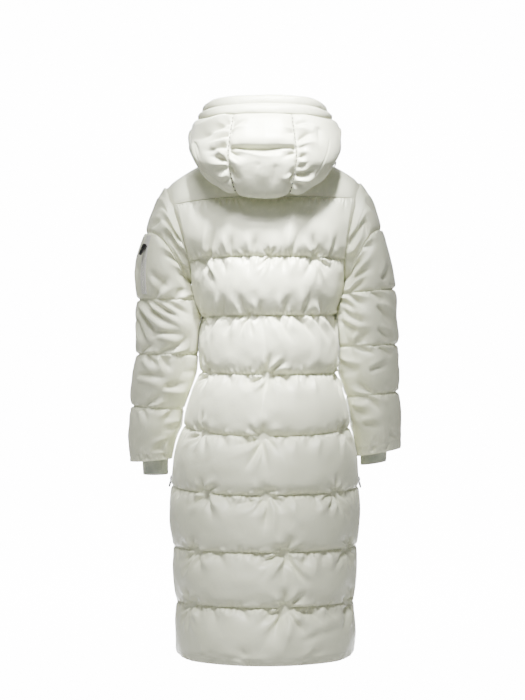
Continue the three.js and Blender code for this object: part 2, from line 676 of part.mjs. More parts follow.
function hoodPiece(places, lines, seams, quilting) {
  const middle = (place) => {
    const neck = hoodPoint(place, 0);
    return neck.lerp(hoodPoint(place, HOOD_RIM), 0.5);
  };
  const direction = (place, line) =>
    normalOf(
      (p, l) => hoodPoint(p, l),
      Math.max(-0.985, Math.min(0.985, place)),
      Math.max(0.05, Math.min(HOOD_RIM - 0.05, line)),
      middle(place),
    );
  const inside = (place, line) =>
    hoodPoint(place, line).addScaledVector(direction(place, line), -HOOD_LINING);
  const outside = (place, line) => {
    const loft = hoodLoft(place, line, seams, quilting);
    return hoodPoint(place, line).addScaledVector(direction(place, line), loft - HOOD_SEAM);
  };
  return wall({ across: places, rows: lines, insideRows: lines, inside, outside });
}

function buildHood(coat) {
  const lines = [...spread(0, 3, 8), ...spread(3, HOOD_BAND_START - HOOD_BAND_GAP, 6).slice(1)];
  const centre = spread(-HOOD_SPLIT.right + HOOD_GAP, HOOD_SPLIT.left - HOOD_GAP, 6);
  add(coat, "hood_centre", hoodPiece(
    centre, lines, [-HOOD_SPLIT.right, HOOD_SPLIT.left], [0, HOOD_FOLD, HOOD_BAND_START],
  ), cloth);
  for (const [side, sign] of Object.entries(sides)) {
    const places = spread(HOOD_SPLIT[side] + HOOD_GAP, 1, 13).map((place) => place * sign);
    const seams = [HOOD_SPLIT[side] * sign, sign];
    add(coat, `hood_side_${side}`, hoodPiece(places, lines, seams, [0, HOOD_BAND_START]), cloth);
  }
  const band = spread(HOOD_BAND_START + HOOD_BAND_GAP, HOOD_RIM, 6);
  const round = spread(-1, 1, 30);
  const stitched = [HOOD_BAND_START, HOOD_BAND_MIDDLE, HOOD_RIM];
  add(coat, "hood_band", hoodPiece(round, band, [-1, 1], stitched), cloth);
}

// The front zip follows the centre front from near the hem to the collar's top.
function zipLine(height) {
  const collarTop = neckAt(1).add(vec(0, -COLLAR_LEAN, COLLAR_FRONT));
  const low = bodyAt("mid", HEM_ROW) + ZIP_FOOT;
  const z = lerp(low, collarTop.z - 4, height);
  const neck = neckAt(1);
  if (z > neck.z) return vec(0, lerp(neck.y, collarTop.y, (z - neck.z) / COLLAR_FRONT), z);
  const yoke = bodyAt("mid", 1);
  if (z > yoke) return vec(0, lerp(bodyAt("front", 1), neck.y, (z - yoke) / (neck.z - yoke)), z);
  let row = 1;
  while (row < HEM_ROW && bodyAt("mid", row) > z) row += 0.02;
  return vec(0, bodyAt("front", row), z);
}

function buildFrontZip(coat) {
  const places = [-ZIP_HALF, -CHAIN_HALF - 0.4, -CHAIN_HALF, CHAIN_HALF, CHAIN_HALF + 0.4, ZIP_HALF];
  const rows = spread(0, 1, 44);
  add(coat, "front_zip", wall({
    across: places.map((place) => place * 0.985),
    rows,
    insideRows: rows,
    inside: (place, height) => zipLine(height).add(vec(place, -ZIP_BACK, 0)),
    outside: (place, height) => {
      const thick = TAPE + (Math.abs(place) <= CHAIN_HALF ? CHAIN_RISE : 0);
      return zipLine(height).add(vec(place, -ZIP_BACK - thick, 0));
    },
  }), tapeCloth);
}

// A closed geometry as a solid that can be joined to another.
const wasm = await Module();
wasm.setup();
function solid(geometry) {
  geometry.deleteAttribute("normal");
  geometry.deleteAttribute("uv");
  const merged = mergeVertices(geometry, 1e-4);
  return new wasm.Manifold(new wasm.Mesh({
    numProp: 3,
    vertProperties: merged.attributes.position.array,
    triVerts: new Uint32Array(merged.index.array),
  }));
}

function geometryOf(body) {
  const mesh = body.getMesh();
  const geometry = new THREE.BufferGeometry();
  geometry.setAttribute("position", new THREE.BufferAttribute(new Float32Array(mesh.vertProperties), 3));
  geometry.setIndex(new THREE.BufferAttribute(new Uint32Array(mesh.triVerts), 1));
  geometry.computeVertexNormals();
  return geometry;
}

// Slider in its own frame: zip along Y, outwards along Z, the pull's axis along X at PULL.lift.
function sliderGeometry() {
  const { width, length, plate, archRise, archBar, archWidth, archSpan, taper } = SLIDER;
  const outline = new THREE.Shape();
  const half = width / 2;
  outline.moveTo(-half * taper, -length * taper);
  outline.lineTo(half * taper, -length * taper);
  outline.lineTo(half, length * 0.1);
  outline.absarc(0, length * 0.1, half, 0, Math.PI, false);
  outline.lineTo(-half, length * 0.1);
  const base = new THREE.ExtrudeGeometry(outline, { depth: plate, bevelEnabled: false, curveSegments: 8 });
  base.translate(0, 0, -plate);
  const side = new THREE.Shape();
  const reach = archSpan / 2;
  side.moveTo(-reach, -plate / 2);
  side.lineTo(-reach, archRise);
  side.lineTo(-reach + archBar, archRise + archBar);
  side.lineTo(reach - archBar, archRise + archBar);
  side.lineTo(reach, archRise);
  side.lineTo(reach, -plate / 2);
  side.lineTo(reach - archBar, -plate / 2);
  side.lineTo(reach - archBar, archRise);
  side.lineTo(-reach + archBar, archRise);
  side.lineTo(-reach + archBar, -plate / 2);
  const arch = new THREE.ExtrudeGeometry(side, { depth: archWidth, bevelEnabled: false });
  arch.translate(0, 0, -archWidth / 2);
  arch.rotateZ(Math.PI / 2);
  arch.rotateY(Math.PI / 2);
  return geometryOf(solid(base).add(solid(arch)));
}

// Pull in the slider's frame, hanging towards -Y from the axis at the origin.
function pullGeometry() {
  const { width, length, thick, slotWidth, slotLength, bar } = PULL;
  const half = width / 2;
  const outline = new THREE.Shape();
  outline.moveTo(-half, bar / 2);
  outline.lineTo(-half, -length + half + bar / 2);
  outline.absarc(0, -length + half + bar / 2, half, Math.PI, 2 * Math.PI, false);
  outline.lineTo(half, bar / 2);
  const slot = new THREE.Path();
  slot.moveTo(-slotWidth / 2, -bar / 2);
  slot.lineTo(slotWidth / 2, -bar / 2);
  slot.lineTo(slotWidth / 2, -bar / 2 - slotLength);
  slot.lineTo(-slotWidth / 2, -bar / 2 - slotLength);
  outline.holes.push(slot);
  const extrude = { depth: thick, bevelEnabled: false, curveSegments: 8 };
  const geometry = new THREE.ExtrudeGeometry(outline, extrude);
  geometry.translate(0, 0, -thick / 2);
  return geometry;
}

// Slider and pull on a zip: at is on the zip's face, up runs along it and out faces away from it.
function zipHardware(coat, name, { at, up, out, lift }) {
  const across = up.clone().cross(out).normalize();
  const along = out.clone().cross(across).normalize();
  const set = new THREE.Group();
  set.matrixAutoUpdate = false;
  const place = at.clone().addScaledVector(out, SLIDER.plate + lift);
  set.matrix.makeBasis(across, along, out.clone().normalize()).setPosition(place);
  coat.add(set);
  add(set, `${name}_slider`, sliderGeometry(), blackMetal);
  const pull = add(set, `${name}_pull`, pullGeometry(), blackMetal);
  pull.position.set(0, 0, PULL.lift);
}

function buildFrontHardware(coat) {
  const at = zipLine(FRONT_SLIDER_AT).add(vec(0, -TAPE - CHAIN_RISE - ZIP_BACK, 0));
  const up = zipLine(FRONT_SLIDER_AT + 0.01).sub(zipLine(FRONT_SLIDER_AT - 0.01)).normalize();
  const out = vec(0, -up.z, up.y).normalize();
  zipHardware(coat, "front", { at, up, out, lift: SEAM_GAP });
}

// A zip sewn on a quilted surface: a strip of the surface's own points, moved out.
function surfaceZip(coat, name, { surface, direction, widths, from, to, thick, rows }) {
  const put = (place, row, out) =>
    surface(place, row).addScaledVector(direction(place, row), ZIP_LIFT + out);
  add(coat, name, wall({
    across: widths,
    rows,
    insideRows: rows,
    inside: (place, row) => put(place, row, 0),
    outside: (place, row) => put(place, row, thick),
  }), tapeCloth);
}

function zipFrame(side, { surface, direction, place, row, thick }) {
  const out = direction(place, row);
  const at = surface(place, row).addScaledVector(out, ZIP_LIFT + thick);
  const up = surface(place, row - 0.02).sub(surface(place, row + 0.02)).normalize();
  for (const item of [out, at, up]) onSide(side, item);
  const straight = up.addScaledVector(out, -up.dot(out)).normalize();
  return { at, up: straight, out };
}

// A hand pocket's zip slants from the front down to the side seam.
function buildHandPockets(coat) {
  const rows = [POCKET.from, ...baffleRows(5, 6), POCKET.to];
  for (const side of Object.keys(sides)) {
    const panel = { side, face: -1, start: ZIP_HALF + SEAM_GAP };
    const slant = (row) => lerp(POCKET.front, POCKET.side, (row - POCKET.from) / (POCKET.to - POCKET.from));
    const across = (share, row) => slant(row) + (share * POCKET.half) / POCKET.panel;
    const direction = (share, row) => panelDirection(panel, across(share, row), row);
    const surface = (share, row) => {
      const thick = SEAM_WALL + panelLoft(panel, across(share, row), row, true);
      return liningPoint(panel, across(share, row), row).addScaledVector(direction(share, row), thick);
    };
    surfaceZip(coat, `pocket_${side}`, {
      surface: (share, row) => onSide(side, surface(share, row)),
      direction: (share, row) => onSide(side, direction(share, row)),
      widths: [-1, -0.3, 0.3, 1],
      thick: POCKET.wall,
      rows,
    });
    const frame = zipFrame(side, { surface, direction, place: 0, row: POCKET.slider, thick: POCKET.wall });
    zipHardware(coat, `pocket_${side}`, { ...frame, lift: POCKET.lift });
  }
}

function buildSleevePocket(coat) {
  const widths = [-1, -0.35, 0.35, 1].map(
    (share) => rad(SLEEVE_POCKET.angle) + (share * SLEEVE_POCKET.half) / SLEEVE_POCKET.radius,
  );
  const rows = [SLEEVE_POCKET.start, 1.14, 1.36, 1.64, 1.86, SLEEVE_POCKET.end];
  const surface = (turn, row) => sleeveOutside("left", turn, row);
  const direction = (turn, row) => sleeveDirection("left", turn, row);
  surfaceZip(coat, "sleeve_pocket", { surface, direction, widths, thick: SLEEVE_POCKET.wall, rows });
  const place = rad(SLEEVE_POCKET.angle);
  const row = SLEEVE_POCKET.slider;
  const frame = zipFrame("left", { surface, direction, place, row, thick: SLEEVE_POCKET.wall });
  zipHardware(coat, "sleeve_pocket", { ...frame, lift: SLEEVE_POCKET.lift });
}

const coat = new THREE.Group();
buildBack(coat);
buildFronts(coat);
buildSleeves(coat);
buildCuffs(coat);
buildCollar(coat);
buildHood(coat);
buildFrontZip(coat);
buildFrontHardware(coat);
buildHandPockets(coat);
buildSleevePocket(coat);

export default coat;
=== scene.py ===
import bpy
import bmesh
import math
import numpy as np
from mathutils import Matrix, Vector


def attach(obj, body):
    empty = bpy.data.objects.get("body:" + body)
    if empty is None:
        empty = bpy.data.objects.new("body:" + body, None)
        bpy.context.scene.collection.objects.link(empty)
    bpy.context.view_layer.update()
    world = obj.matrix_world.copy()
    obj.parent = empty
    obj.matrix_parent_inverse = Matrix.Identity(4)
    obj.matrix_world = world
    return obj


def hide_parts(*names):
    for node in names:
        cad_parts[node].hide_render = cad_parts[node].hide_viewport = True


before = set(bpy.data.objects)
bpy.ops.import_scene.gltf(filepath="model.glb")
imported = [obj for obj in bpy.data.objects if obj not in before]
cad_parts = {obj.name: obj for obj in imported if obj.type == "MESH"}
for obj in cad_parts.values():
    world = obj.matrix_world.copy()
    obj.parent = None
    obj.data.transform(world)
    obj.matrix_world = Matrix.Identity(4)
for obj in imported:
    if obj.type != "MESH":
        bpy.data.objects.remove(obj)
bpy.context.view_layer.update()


print("stage: frame loaded")

# sizes of the whole coat in millimetres. Rows are counted down from the neck, with a quilting line at each
# whole row
mm = 0.001
seamWall = 4  # the wall where it is sewn through
thinnest = 1.3
halfGap = 0.25  # half of what stays open at a seam
pinch = {"deep": 2.6, "wide": 3.2}  # how a quilting line is drawn in below the wall
stitchHold = 5  # how wide a hem's stitches hold the filling down
bodySag = 0.08  # how far the filling sinks in a row
sleeveSag = 0.06
rowLength = 118  # a row as the folds' tables measure it
rowHeight = 122  # and as it hangs
hemRow = 9
bodyStitchRow = 8.84  # where the hems are sewn down
sleeveStitchRow = 4.85
underarmRow = 2.36
armholeDepth = 66
zipHalf = 12.5
panelStart = {1: 0, -1: zipHalf + 0.5}  # the first column of the back and of a front


# a smooth curve through a table's rows: take gives a row's values, and widen fits a number to their shape
def tableCurve(keys, place, take, widen):
    i = np.clip(np.searchsorted(keys, place, side="left") - 1, 0, len(keys) - 2)
    before, after = np.maximum(i - 1, 0), np.minimum(i + 2, len(keys) - 1)
    span = keys[i + 1] - keys[i]
    t, span = widen((place - keys[i]) / span), widen(span)
    slopeHere = (take(i + 1) - take(before)) / widen(keys[i + 1] - keys[before]) * span
    slopeNext = (take(after) - take(i)) / widen(keys[after] - keys[i]) * span
    t2, t3 = t * t, t * t * t
    return ((2 * t3 - 3 * t2 + 1) * take(i) + (t3 - 2 * t2 + t) * slopeHere
            + (3 * t2 - 2 * t3) * take(i + 1) + (t3 - t2) * slopeNext)


# the same for a table's columns
def column(keys, values, place):
    more = (1,) * (values.ndim - 1)
    return tableCurve(keys, np.asarray(place, float), lambda i: values[i],
                      lambda a: a.reshape(a.shape + more))


def smooth(x, low, high):
    t = np.clip((np.asarray(x, float) - low) / (high - low), 0, 1)
    return t * t * (3 - 2 * t)


def lerp(a, b, t):
    return a + (b - a) * t


def pile(x, y, z):
    return np.stack(np.broadcast_arrays(np.asarray(x, float), y, z), axis=-1)


def unit(v):
    return v / np.maximum(np.linalg.norm(v, axis=-1, keepdims=True), 1e-9)


# the body's lining at its quilting seams, in millimetres
bodyNames = ["row", "mid", "endLeft", "endRight", "left", "right", "edgeY", "back", "front", "wrap"]
bodyRows = np.array([
    [1, -76, -92, -76, 190, 185, 60, 98, -106, 60],
    [2, -198, -205, -201, 160, 170, 36, 120, -136, 72],
    [3, -318, -321, -312, 128, 143, 0, 112, -124, 88],
    [4, -439, -434, -436, 129, 143, 0, 116, -122, 88],
    [5, -563, -546, -550, 164, 171, 0, 142, -138, 88],
    [6, -681, -671, -673, 191, 191, 0, 154, -150, 88],
    [7, -796, -798, -796, 187, 187, 0, 154, -154, 88],
    [8, -907, -914, -911, 180, 180, 0, 149, -152, 88],
    [9, -1026, -1029, -1029, 180, 180, 0, 144, -149, 88],
], float)
neckRows = np.array([
    [0, 0, 76, 14], [0.25, 46, 64, 16], [0.5, 80, 8, 21], [0.75, 66, -58, -4], [1, zipHalf, -101, -28],
], float)
sideSign = {"left": 1, "right": -1}
endName = {"left": "endLeft", "right": "endRight"}
shoulderTip = {"left": (205, 0, -50), "right": (197, 0, -40)}


def bodyAt(name, row):
    return column(bodyRows[:, 0], bodyRows[:, bodyNames.index(name)], row)


def neckAt(at):
    return column(neckRows[:, 0], neckRows[:, 1:], at)


def outOfNeck(neck, rise):
    return unit(pile(neck[..., 0] / 90, neck[..., 1] / 90, rise))


armholes = {}
for side in sideSign:
    tip = np.array(shoulderTip[side], float)
    under = np.array([bodyAt(side, underarmRow), 0, bodyAt(endName[side], underarmRow)], float)
    up = (tip - under) / 2
    armholes[side] = {"tip": tip, "under": under, "middle": (tip + under) / 2, "up": up,
                      "out": unit(np.array([up[2], 0, -up[0]]))}


# a point round an armhole: turn runs from its top over the back to its foot
def armhole(side, turn):
    a = armholes[side]
    point = a["middle"] + a["up"] * np.cos(turn)[..., None]
    point[..., 1] += armholeDepth * np.sin(turn)
    return point


def armholeDirection(side, turn):
    a = armholes[side]
    mitre = smooth(np.abs(np.pi - turn), 0, np.pi / 2.5)
    outwards = unit(a["up"]) * np.cos(turn)[..., None]
    outwards[..., 1] += np.sin(turn)
    return unit(outwards + a["out"] * (1 - mitre)[..., None])


# how far round the armhole a row of the body meets it
def armholeTurn(side, row):
    row = np.asarray(row, float)
    a = armholes[side]

    def below(r):
        share = (bodyAt(endName[side], r) - a["middle"][2]) / a["up"][2]
        return np.arccos(np.clip(share, -1, 1))
    first = below(np.ones_like(row))
    turn = np.where(row < 1, first * row, below(np.maximum(row, 1)))
    return np.where(row >= underarmRow, np.pi, turn)


# panel holds its side, its face (1 back, -1 front) and where its first column starts
def rowPoint(panel, across, row):
    side, face, start = panel
    low = np.maximum(row, underarmRow)
    atArm = armhole(side, armholeTurn(side, row))
    free = pile(bodyAt(side, low), 0, bodyAt(endName[side], low))
    end = np.where((row < underarmRow)[..., None], atArm, free)
    edgeY = np.maximum(bodyAt("edgeY", row), 0)
    centreY = bodyAt("back" if face > 0 else "front", row)
    wrap = np.radians(bodyAt("wrap", np.minimum(row, 4)))
    turn = across * wrap
    depth = (np.cos(turn) - np.cos(wrap)) / (1 - np.cos(wrap))
    x = start + (end[..., 0] - start) * np.sin(turn) / np.sin(wrap)
    y = lerp(edgeY * face, centreY, depth) + (end[..., 1] - edgeY) * face * across ** 8
    return pile(x, y, lerp(bodyAt("mid", row), end[..., 2], across ** 2))


neckShare = 0.38  # of a panel's top edge, along the neckline
shoulderBow = 5


# a panel's top edge: the neckline, then the shoulder out to its tip
def topPoint(panel, across):
    side, face, _ = panel
    share = np.clip(across / neckShare, 0, 1)
    neck = neckAt(share * 0.5 if face > 0 else 1 - share * 0.5)
    out = np.clip((across - neckShare) / (1 - neckShare), 0, 1)
    corner = neckAt(np.array(0.5))
    shoulder = corner + (armholes[side]["tip"] - corner) * out[..., None]
    shoulder[..., 2] += shoulderBow * np.sin(np.pi * out)
    return np.where((across < neckShare)[..., None], neck, shoulder)


# a panel's lining: below the first seam by its rows, above it curving up to the top edge
def liningPoint(panel, across, row):
    across, row = np.broadcast_arrays(np.asarray(across, float), np.asarray(row, float))
    below = rowPoint(panel, across, np.maximum(row, 1))

    def over(a):
        top, seam = topPoint(panel, a), rowPoint(panel, a, np.ones_like(row))
        bend = pile((top[..., 0] + seam[..., 0]) / 2, lerp(top[..., 1], seam[..., 1], 0.85),
                    lerp(top[..., 2], seam[..., 2], 0.25))
        t = np.clip(row, 0, 1)[..., None]
        return (1 - t) ** 2 * top + 2 * t * (1 - t) * bend + t * t * seam
    edge = armhole(panel[0], armholeTurn(panel[0], np.clip(row, 0, 1)))
    edge[..., 1] *= panel[1]
    above = over(across) + (edge - over(np.ones_like(across))) * (across ** 6)[..., None]
    return np.where((row >= 1)[..., None], below, above)


def normalOf(surface, u, v, inside):
    step = 0.01
    alongU = surface(u + step, v) - surface(u - step, v)
    alongV = surface(u, v + step) - surface(u, v - step)
    normal = unit(np.cross(alongU, alongV))
    facing = np.sum(normal * (surface(u, v) - inside), axis=-1, keepdims=True)
    return np.where(facing < 0, -normal, normal)


# outwards from a panel, turned to meet the sleeve at the armhole and the collar at the neckline
def panelDirection(panel, across, row):
    side, face, _ = panel

    def surface(a, r):
        return liningPoint(panel, np.clip(a, 0.001, 0.999), np.maximum(r, 0.001))
    inside = pile(0 * row, 0, np.minimum(bodyAt("mid", np.maximum(row, 1)), -120))
    direction = normalOf(surface, across, np.maximum(row, 0.02), inside)
    edge = armholeDirection(side, armholeTurn(side, row))
    edge[..., 1] *= face
    away = np.array([1.0, 0, 0])
    edge = lerp(edge, away, smooth(row, underarmRow, underarmRow + 0.2)[..., None])
    direction = unit(lerp(direction, edge, smooth(across, 0.82, 1)[..., None]))
    neck = topPoint(panel, across)
    pastNeck = smooth(across, neckShare, neckShare + 0.14)[..., None]
    top = lerp(outOfNeck(neck, 0.1), unit(armholes[side]["up"]), pastNeck)
    return unit(lerp(direction, top, (1 - smooth(row, 0, 0.3))[..., None]))


# the filling's profile between two quilting lines: fullest a little below the middle
def baffle(row, sag=0.0):
    t = (row - np.floor(row)) ** (1 + sag)
    return np.abs(np.sin(np.pi * t)) ** 0.5


loftLook = {"back": 22, "front": 19, "upperSide": 10, "lowerSide": 4, "underArm": 0.9, "yoke": 0.22}


# how far a body panel is filled out, less towards its sides, the armhole, the zip and above the first seam
def panelLoft(face, across, row, besideZip):
    side = lerp(loftLook["upperSide"], loftLook["lowerSide"], smooth(row, 4.5, 6))
    full = lerp(loftLook["back" if face > 0 else "front"], side, across * across)
    arm = np.where(row < underarmRow, 1 - smooth(across, 0.86, 1), 1)
    under = lerp(1, loftLook["underArm"], smooth(across, 0.5, 1) * (1 - smooth(row, 2.5, 3.1)))
    zipSide = smooth(across, 0, 0.16) if besideZip else 1
    return full * arm * under * zipSide * np.where(row < 1, loftLook["yoke"], 1)


# a point lifted off a panel's outside, before its folds
def panelSkin(panel, across, row, lift=0, besideZip=False, sag=bodySag):
    thick = seamWall + panelLoft(panel[1], across, row, besideZip) * baffle(row, sag) + lift
    return liningPoint(panel, across, row) + panelDirection(panel, across, row) * thick[..., None]


# rows crowd together at the quilting lines, where the folds are smallest
def crowded(b, low, high):
    place = lerp(low, high, b)
    whole = np.floor(place)
    t = place - whole
    return whole + t - 0.62 * np.sin(2 * np.pi * t) / (2 * np.pi)


# smooth noise on a lattice, the same at every run
def lumps(u, v, size, seed):
    rng = np.random.default_rng(seed)
    lattice = rng.uniform(-1, 1, (64, 64))
    a, b = np.asarray(u) / size, np.asarray(v) / size
    i, j = np.floor(a).astype(int), np.floor(b).astype(int)
    s, t = smooth(a - i, 0, 1), smooth(b - j, 0, 1)

    def at(di, dj):
        return lattice[(i + di) % 64, (j + dj) % 64]
    return lerp(lerp(at(0, 0), at(1, 0), s), lerp(at(0, 1), at(1, 1), s), t)


# soft lumps of filling, large ones and others half as deep
def filling(u, v, plan, seed):
    large, small = [lumps(u + start, v, size, seed + i)
                    for i, (start, size) in enumerate(zip(plan["starts"], plan["sizes"]))]
    return plan["deep"] * (large + 0.5 * small)


# 1 on a quilting line, 0 beside it
def quiltLine(row):
    return np.exp(-((row - np.round(row)) * rowLength / pinch["wide"]) ** 2)


# 0 where a hem is sewn down, 1 beside it
def besideStitches(row, stitchRow):
    return 1 - 0.95 * np.exp(-((row - stitchRow) * rowLength / stitchHold) ** 2)


foldLook = {"strength": 1.8, "ridgeHigh": 0.62, "ridgeAside": 1.9, "bow": 0.048}


# one fold, from (u0, v0) to (u1, v1), all in millimetres on the panel: a valley with a low ridge beside it
def fold(u, v, crease):
    u0, v0, u1, v1, width, depth = crease
    run = max(math.hypot(u1 - u0, v1 - v0), 1e-6)
    au, av = (u1 - u0) / run, (v1 - v0) / run
    along = (u - u0) * au + (v - v0) * av
    aside = -(u - u0) * av + (v - v0) * au
    t = along / run
    bowed = 1 if (u0 + v0) % 2 < 1 else -1
    aside = aside - foldLook["bow"] * run * np.sin(np.pi * np.clip(t, 0, 1)) * bowed
    fade = smooth(t, -0.12, 0.1) * (1 - smooth(t, 0.35, 1.1))
    wide = width * (0.75 + np.clip(t, 0, 1))
    valley = np.exp(-1.25 * np.abs(aside / wide) ** 1.3)
    ridge = np.exp(-1.1 * np.abs(aside / wide - foldLook["ridgeAside"]) ** 1.4)
    return foldLook["strength"] * depth * fade * (foldLook["ridgeHigh"] * ridge - valley)


# small gathers along one quilting line, drawn up by its thread
def gathers(u, v, seam, low, high, plan, seed):
    rng = np.random.default_rng(seed)
    out = np.zeros_like(u)
    for way in (-1, 1):
        reach = (v - seam) * way
        near = (reach > -1) & (reach < plan["long"] * 1.3)
        if not near.any():
            continue
        uu, rr = u[near], np.maximum(reach[near], 0)
        total = np.zeros_like(uu)
        at = low + rng.uniform(0, plan["gap"])
        while at < high:
            length = plan["long"] * rng.uniform(0.35, 1.25) * (1 if way > 0 else plan["above"])
            width = plan["wide"] * rng.uniform(0.6, 1.3)
            depth = plan["deep"] * rng.uniform(0.35, 1.2) * (1 if way > 0 else 0.8)
            slant = rng.uniform(-0.5, 0.5)
            t = rr / length
            wide = width * (0.55 + 1.5 * t)
            aside = uu - at - slant * rr
            fade = np.clip(1 - t, 0, 1) ** 1.4 * (0.35 + 0.65 * smooth(rr, 0, 4))
            ridge = 0.35 * np.exp(-((aside - 2.2 * wide) / wide) ** 2)
            total -= depth * fade * (np.exp(-(aside / wide) ** 2) - ridge)
            at += plan["gap"] * rng.uniform(0.55, 1.6)
        out[near] += total
    return out


# a knot where the thread has drawn a quilting line in: folds run out of it like a star
def knotFolds(u, v, knot, seed):
    ku, kv, size = knot
    rng = np.random.default_rng(seed)
    near = np.hypot(u - ku, v - kv)
    out = -0.34 * size * np.exp(-(near / (0.42 * size)) ** 2)
    for turn in (25, 58, 90, 122, 155, 215, 270, 325):
        bearing = math.radians(turn + rng.uniform(-12, 12))
        length = size * rng.uniform(1.3, 3.0) * (1 if turn < 180 else 0.6)
        crease = (ku, kv, ku + length * math.cos(bearing), kv + length * math.sin(bearing),
                  size * rng.uniform(0.14, 0.26), size * rng.uniform(0.16, 0.3))
        out += fold(u, v, crease)
    return out


# meshes

def newObject(name, bm):
    bmesh.ops.recalc_face_normals(bm, faces=bm.faces)
    mesh = bpy.data.meshes.new(name)
    bm.to_mesh(mesh)
    bm.free()
    piece = bpy.data.objects.new(name, mesh)
    bpy.context.scene.collection.objects.link(piece)
    for face in mesh.polygons:
        face.use_smooth = True
    return piece


# a grid of points whose two numbers run from 0 to 1
def addGrid(bm, across, down, place):
    made = bmesh.ops.create_grid(bm, x_segments=across, y_segments=down, size=1)["verts"]
    at = np.array([v.co for v in made])
    points = place((at[:, 0] + 1) / 2, (at[:, 1] + 1) / 2)
    for vert, point in zip(made, points * mm):
        vert.co = point
    return made


def boundary(bm, verts):
    chosen = set(verts)
    return [e for e in bm.edges if e.is_boundary and e.verts[0] in chosen and e.verts[1] in chosen]


# a filled panel: a fine outer skin with its relief and a plain lining, sewn together round the edge
def filledPanel(name, across, down, outside, inside):
    bm = bmesh.new()
    outer = addGrid(bm, across, down, outside)
    inner = addGrid(bm, max(across // 3, 4), max(down // 4, 4), inside)
    bmesh.ops.bridge_loops(bm, edges=boundary(bm, outer) + boundary(bm, inner))
    return newObject(name, bm)


# a filled tube: one grid runs down the outer skin, turns in at the hem and runs up the lining
def filledTube(name, across, down, outside, inside):
    plain = down // 4
    rows = down + plain + 2

    def place(a, b):
        j = np.round(b * rows)
        a = np.where(a > 0.9999, 0, a)
        out = outside(a, np.clip(j / down, 0, 1) * (j < rows))
        back = inside(a, np.clip((down + 1 + plain - j) / plain, 0, 1))
        return np.where(((j > down) & (j < rows))[..., None], back, out)
    bm = bmesh.new()
    addGrid(bm, across, rows, place)
    bmesh.ops.remove_doubles(bm, verts=bm.verts, dist=1e-5)
    return newObject(name, bm)


# materials

def nodesOf(name):
    material = bpy.data.materials.new(name)
    material.use_nodes = True
    tree = material.node_tree
    return material, tree.nodes, tree.links, tree.nodes["Principled BSDF"]


def noiseNode(nodes, links, coords, scale, detail, rough=0.5):
    noise = nodes.new("ShaderNodeTexNoise")
    noise.inputs["Scale"].default_value = scale
    noise.inputs["Detail"].default_value = detail
    noise.inputs["Roughness"].default_value = rough
    links.new(coords, noise.inputs["Vector"])
    return noise


def bumpNode(nodes, links, height, strength, distance, under=None):
    bump = nodes.new("ShaderNodeBump")
    bump.inputs["Strength"].default_value = strength
    bump.inputs["Distance"].default_value = distance
    links.new(height, bump.inputs["Height"])
    if under:
        links.new(under.outputs["Normal"], bump.inputs["Normal"])
    return bump


def shellCloth(name, look):
    material, nodes, links, shader = nodesOf(name)
    coords = nodes.new("ShaderNodeTexCoord").outputs["Object"]
    tone = noiseNode(nodes, links, coords, look["toneScale"], 3)
    ramp = nodes.new("ShaderNodeValToRGB")
    ramp.color_ramp.elements[0].position = 0.3
    ramp.color_ramp.elements[0].color = (*look["shade"], 1)
    ramp.color_ramp.elements[1].position = 0.75
    ramp.color_ramp.elements[1].color = (*look["color"], 1)
    links.new(tone.outputs["Fac"], ramp.inputs["Fac"])
    links.new(ramp.outputs["Color"], shader.inputs["Base Color"])
    shader.inputs["Roughness"].default_value = look["rough"]
    shader.inputs["Sheen Weight"].default_value = look["sheen"]
    shader.inputs["Sheen Roughness"].default_value = 0.4
    shader.inputs["Specular IOR Level"].default_value = look["gloss"]
    rumple = noiseNode(nodes, links, coords, look["rumpleScale"], 4, 0.55)
    bump = bumpNode(nodes, links, rumple.outputs["Fac"], look["rumple"], 0.004)
    for way in ("X", "Z"):
        wave = nodes.new("ShaderNodeTexWave")
        wave.bands_direction = way
        wave.inputs["Scale"].default_value = look["weaveScale"]
        wave.inputs["Distortion"].default_value = 0.6
        links.new(coords, wave.inputs["Vector"])
        bump = bumpNode(nodes, links, wave.outputs["Fac"], look["weave"], 0.0002, bump)
    links.new(bump.outputs["Normal"], shader.inputs["Normal"])
    return material


shell = shellCloth("shellNylon", {
    "color": (0.795, 0.81, 0.62), "shade": (0.755, 0.77, 0.585), "toneScale": 9, "rough": 0.4,
    "sheen": 0.25, "gloss": 0.5, "rumpleScale": 38, "rumple": 0.22, "weaveScale": 420, "weave": 0.08,
})
rib = shellCloth("ribKnit", {
    "color": (0.60, 0.63, 0.54), "shade": (0.52, 0.55, 0.47), "toneScale": 30, "rough": 0.85, "sheen": 0.5,
    "gloss": 0.2, "rumpleScale": 160, "rumple": 0.2, "weaveScale": 500, "weave": 0.3,
})
tape = shellCloth("zipTape", {
    "color": (0.74, 0.73, 0.67), "shade": (0.68, 0.67, 0.62), "toneScale": 40, "rough": 0.75, "sheen": 0.3,
    "gloss": 0.25, "rumpleScale": 90, "rumple": 0.1, "weaveScale": 700, "weave": 0.4,
})


def enamel(name, color, rough):
    material, nodes, links, shader = nodesOf(name)
    coords = nodes.new("ShaderNodeTexCoord").outputs["Object"]
    wear = noiseNode(nodes, links, coords, 240, 4)
    ramp = nodes.new("ShaderNodeValToRGB")
    ramp.color_ramp.elements[0].color = (*color, 1)
    ramp.color_ramp.elements[1].color = (*[c * 1.8 + 0.01 for c in color], 1)
    links.new(wear.outputs["Fac"], ramp.inputs["Fac"])
    links.new(ramp.outputs["Color"], shader.inputs["Base Color"])
    shader.inputs["Roughness"].default_value = rough
    shader.inputs["Metallic"].default_value = 0.3
    bump = bumpNode(nodes, links, wear.outputs["Fac"], 0.1, 0.0003)
    links.new(bump.outputs["Normal"], shader.inputs["Normal"])
    return material


blackEnamel = enamel("blackEnamel", (0.014, 0.014, 0.015), 0.38)


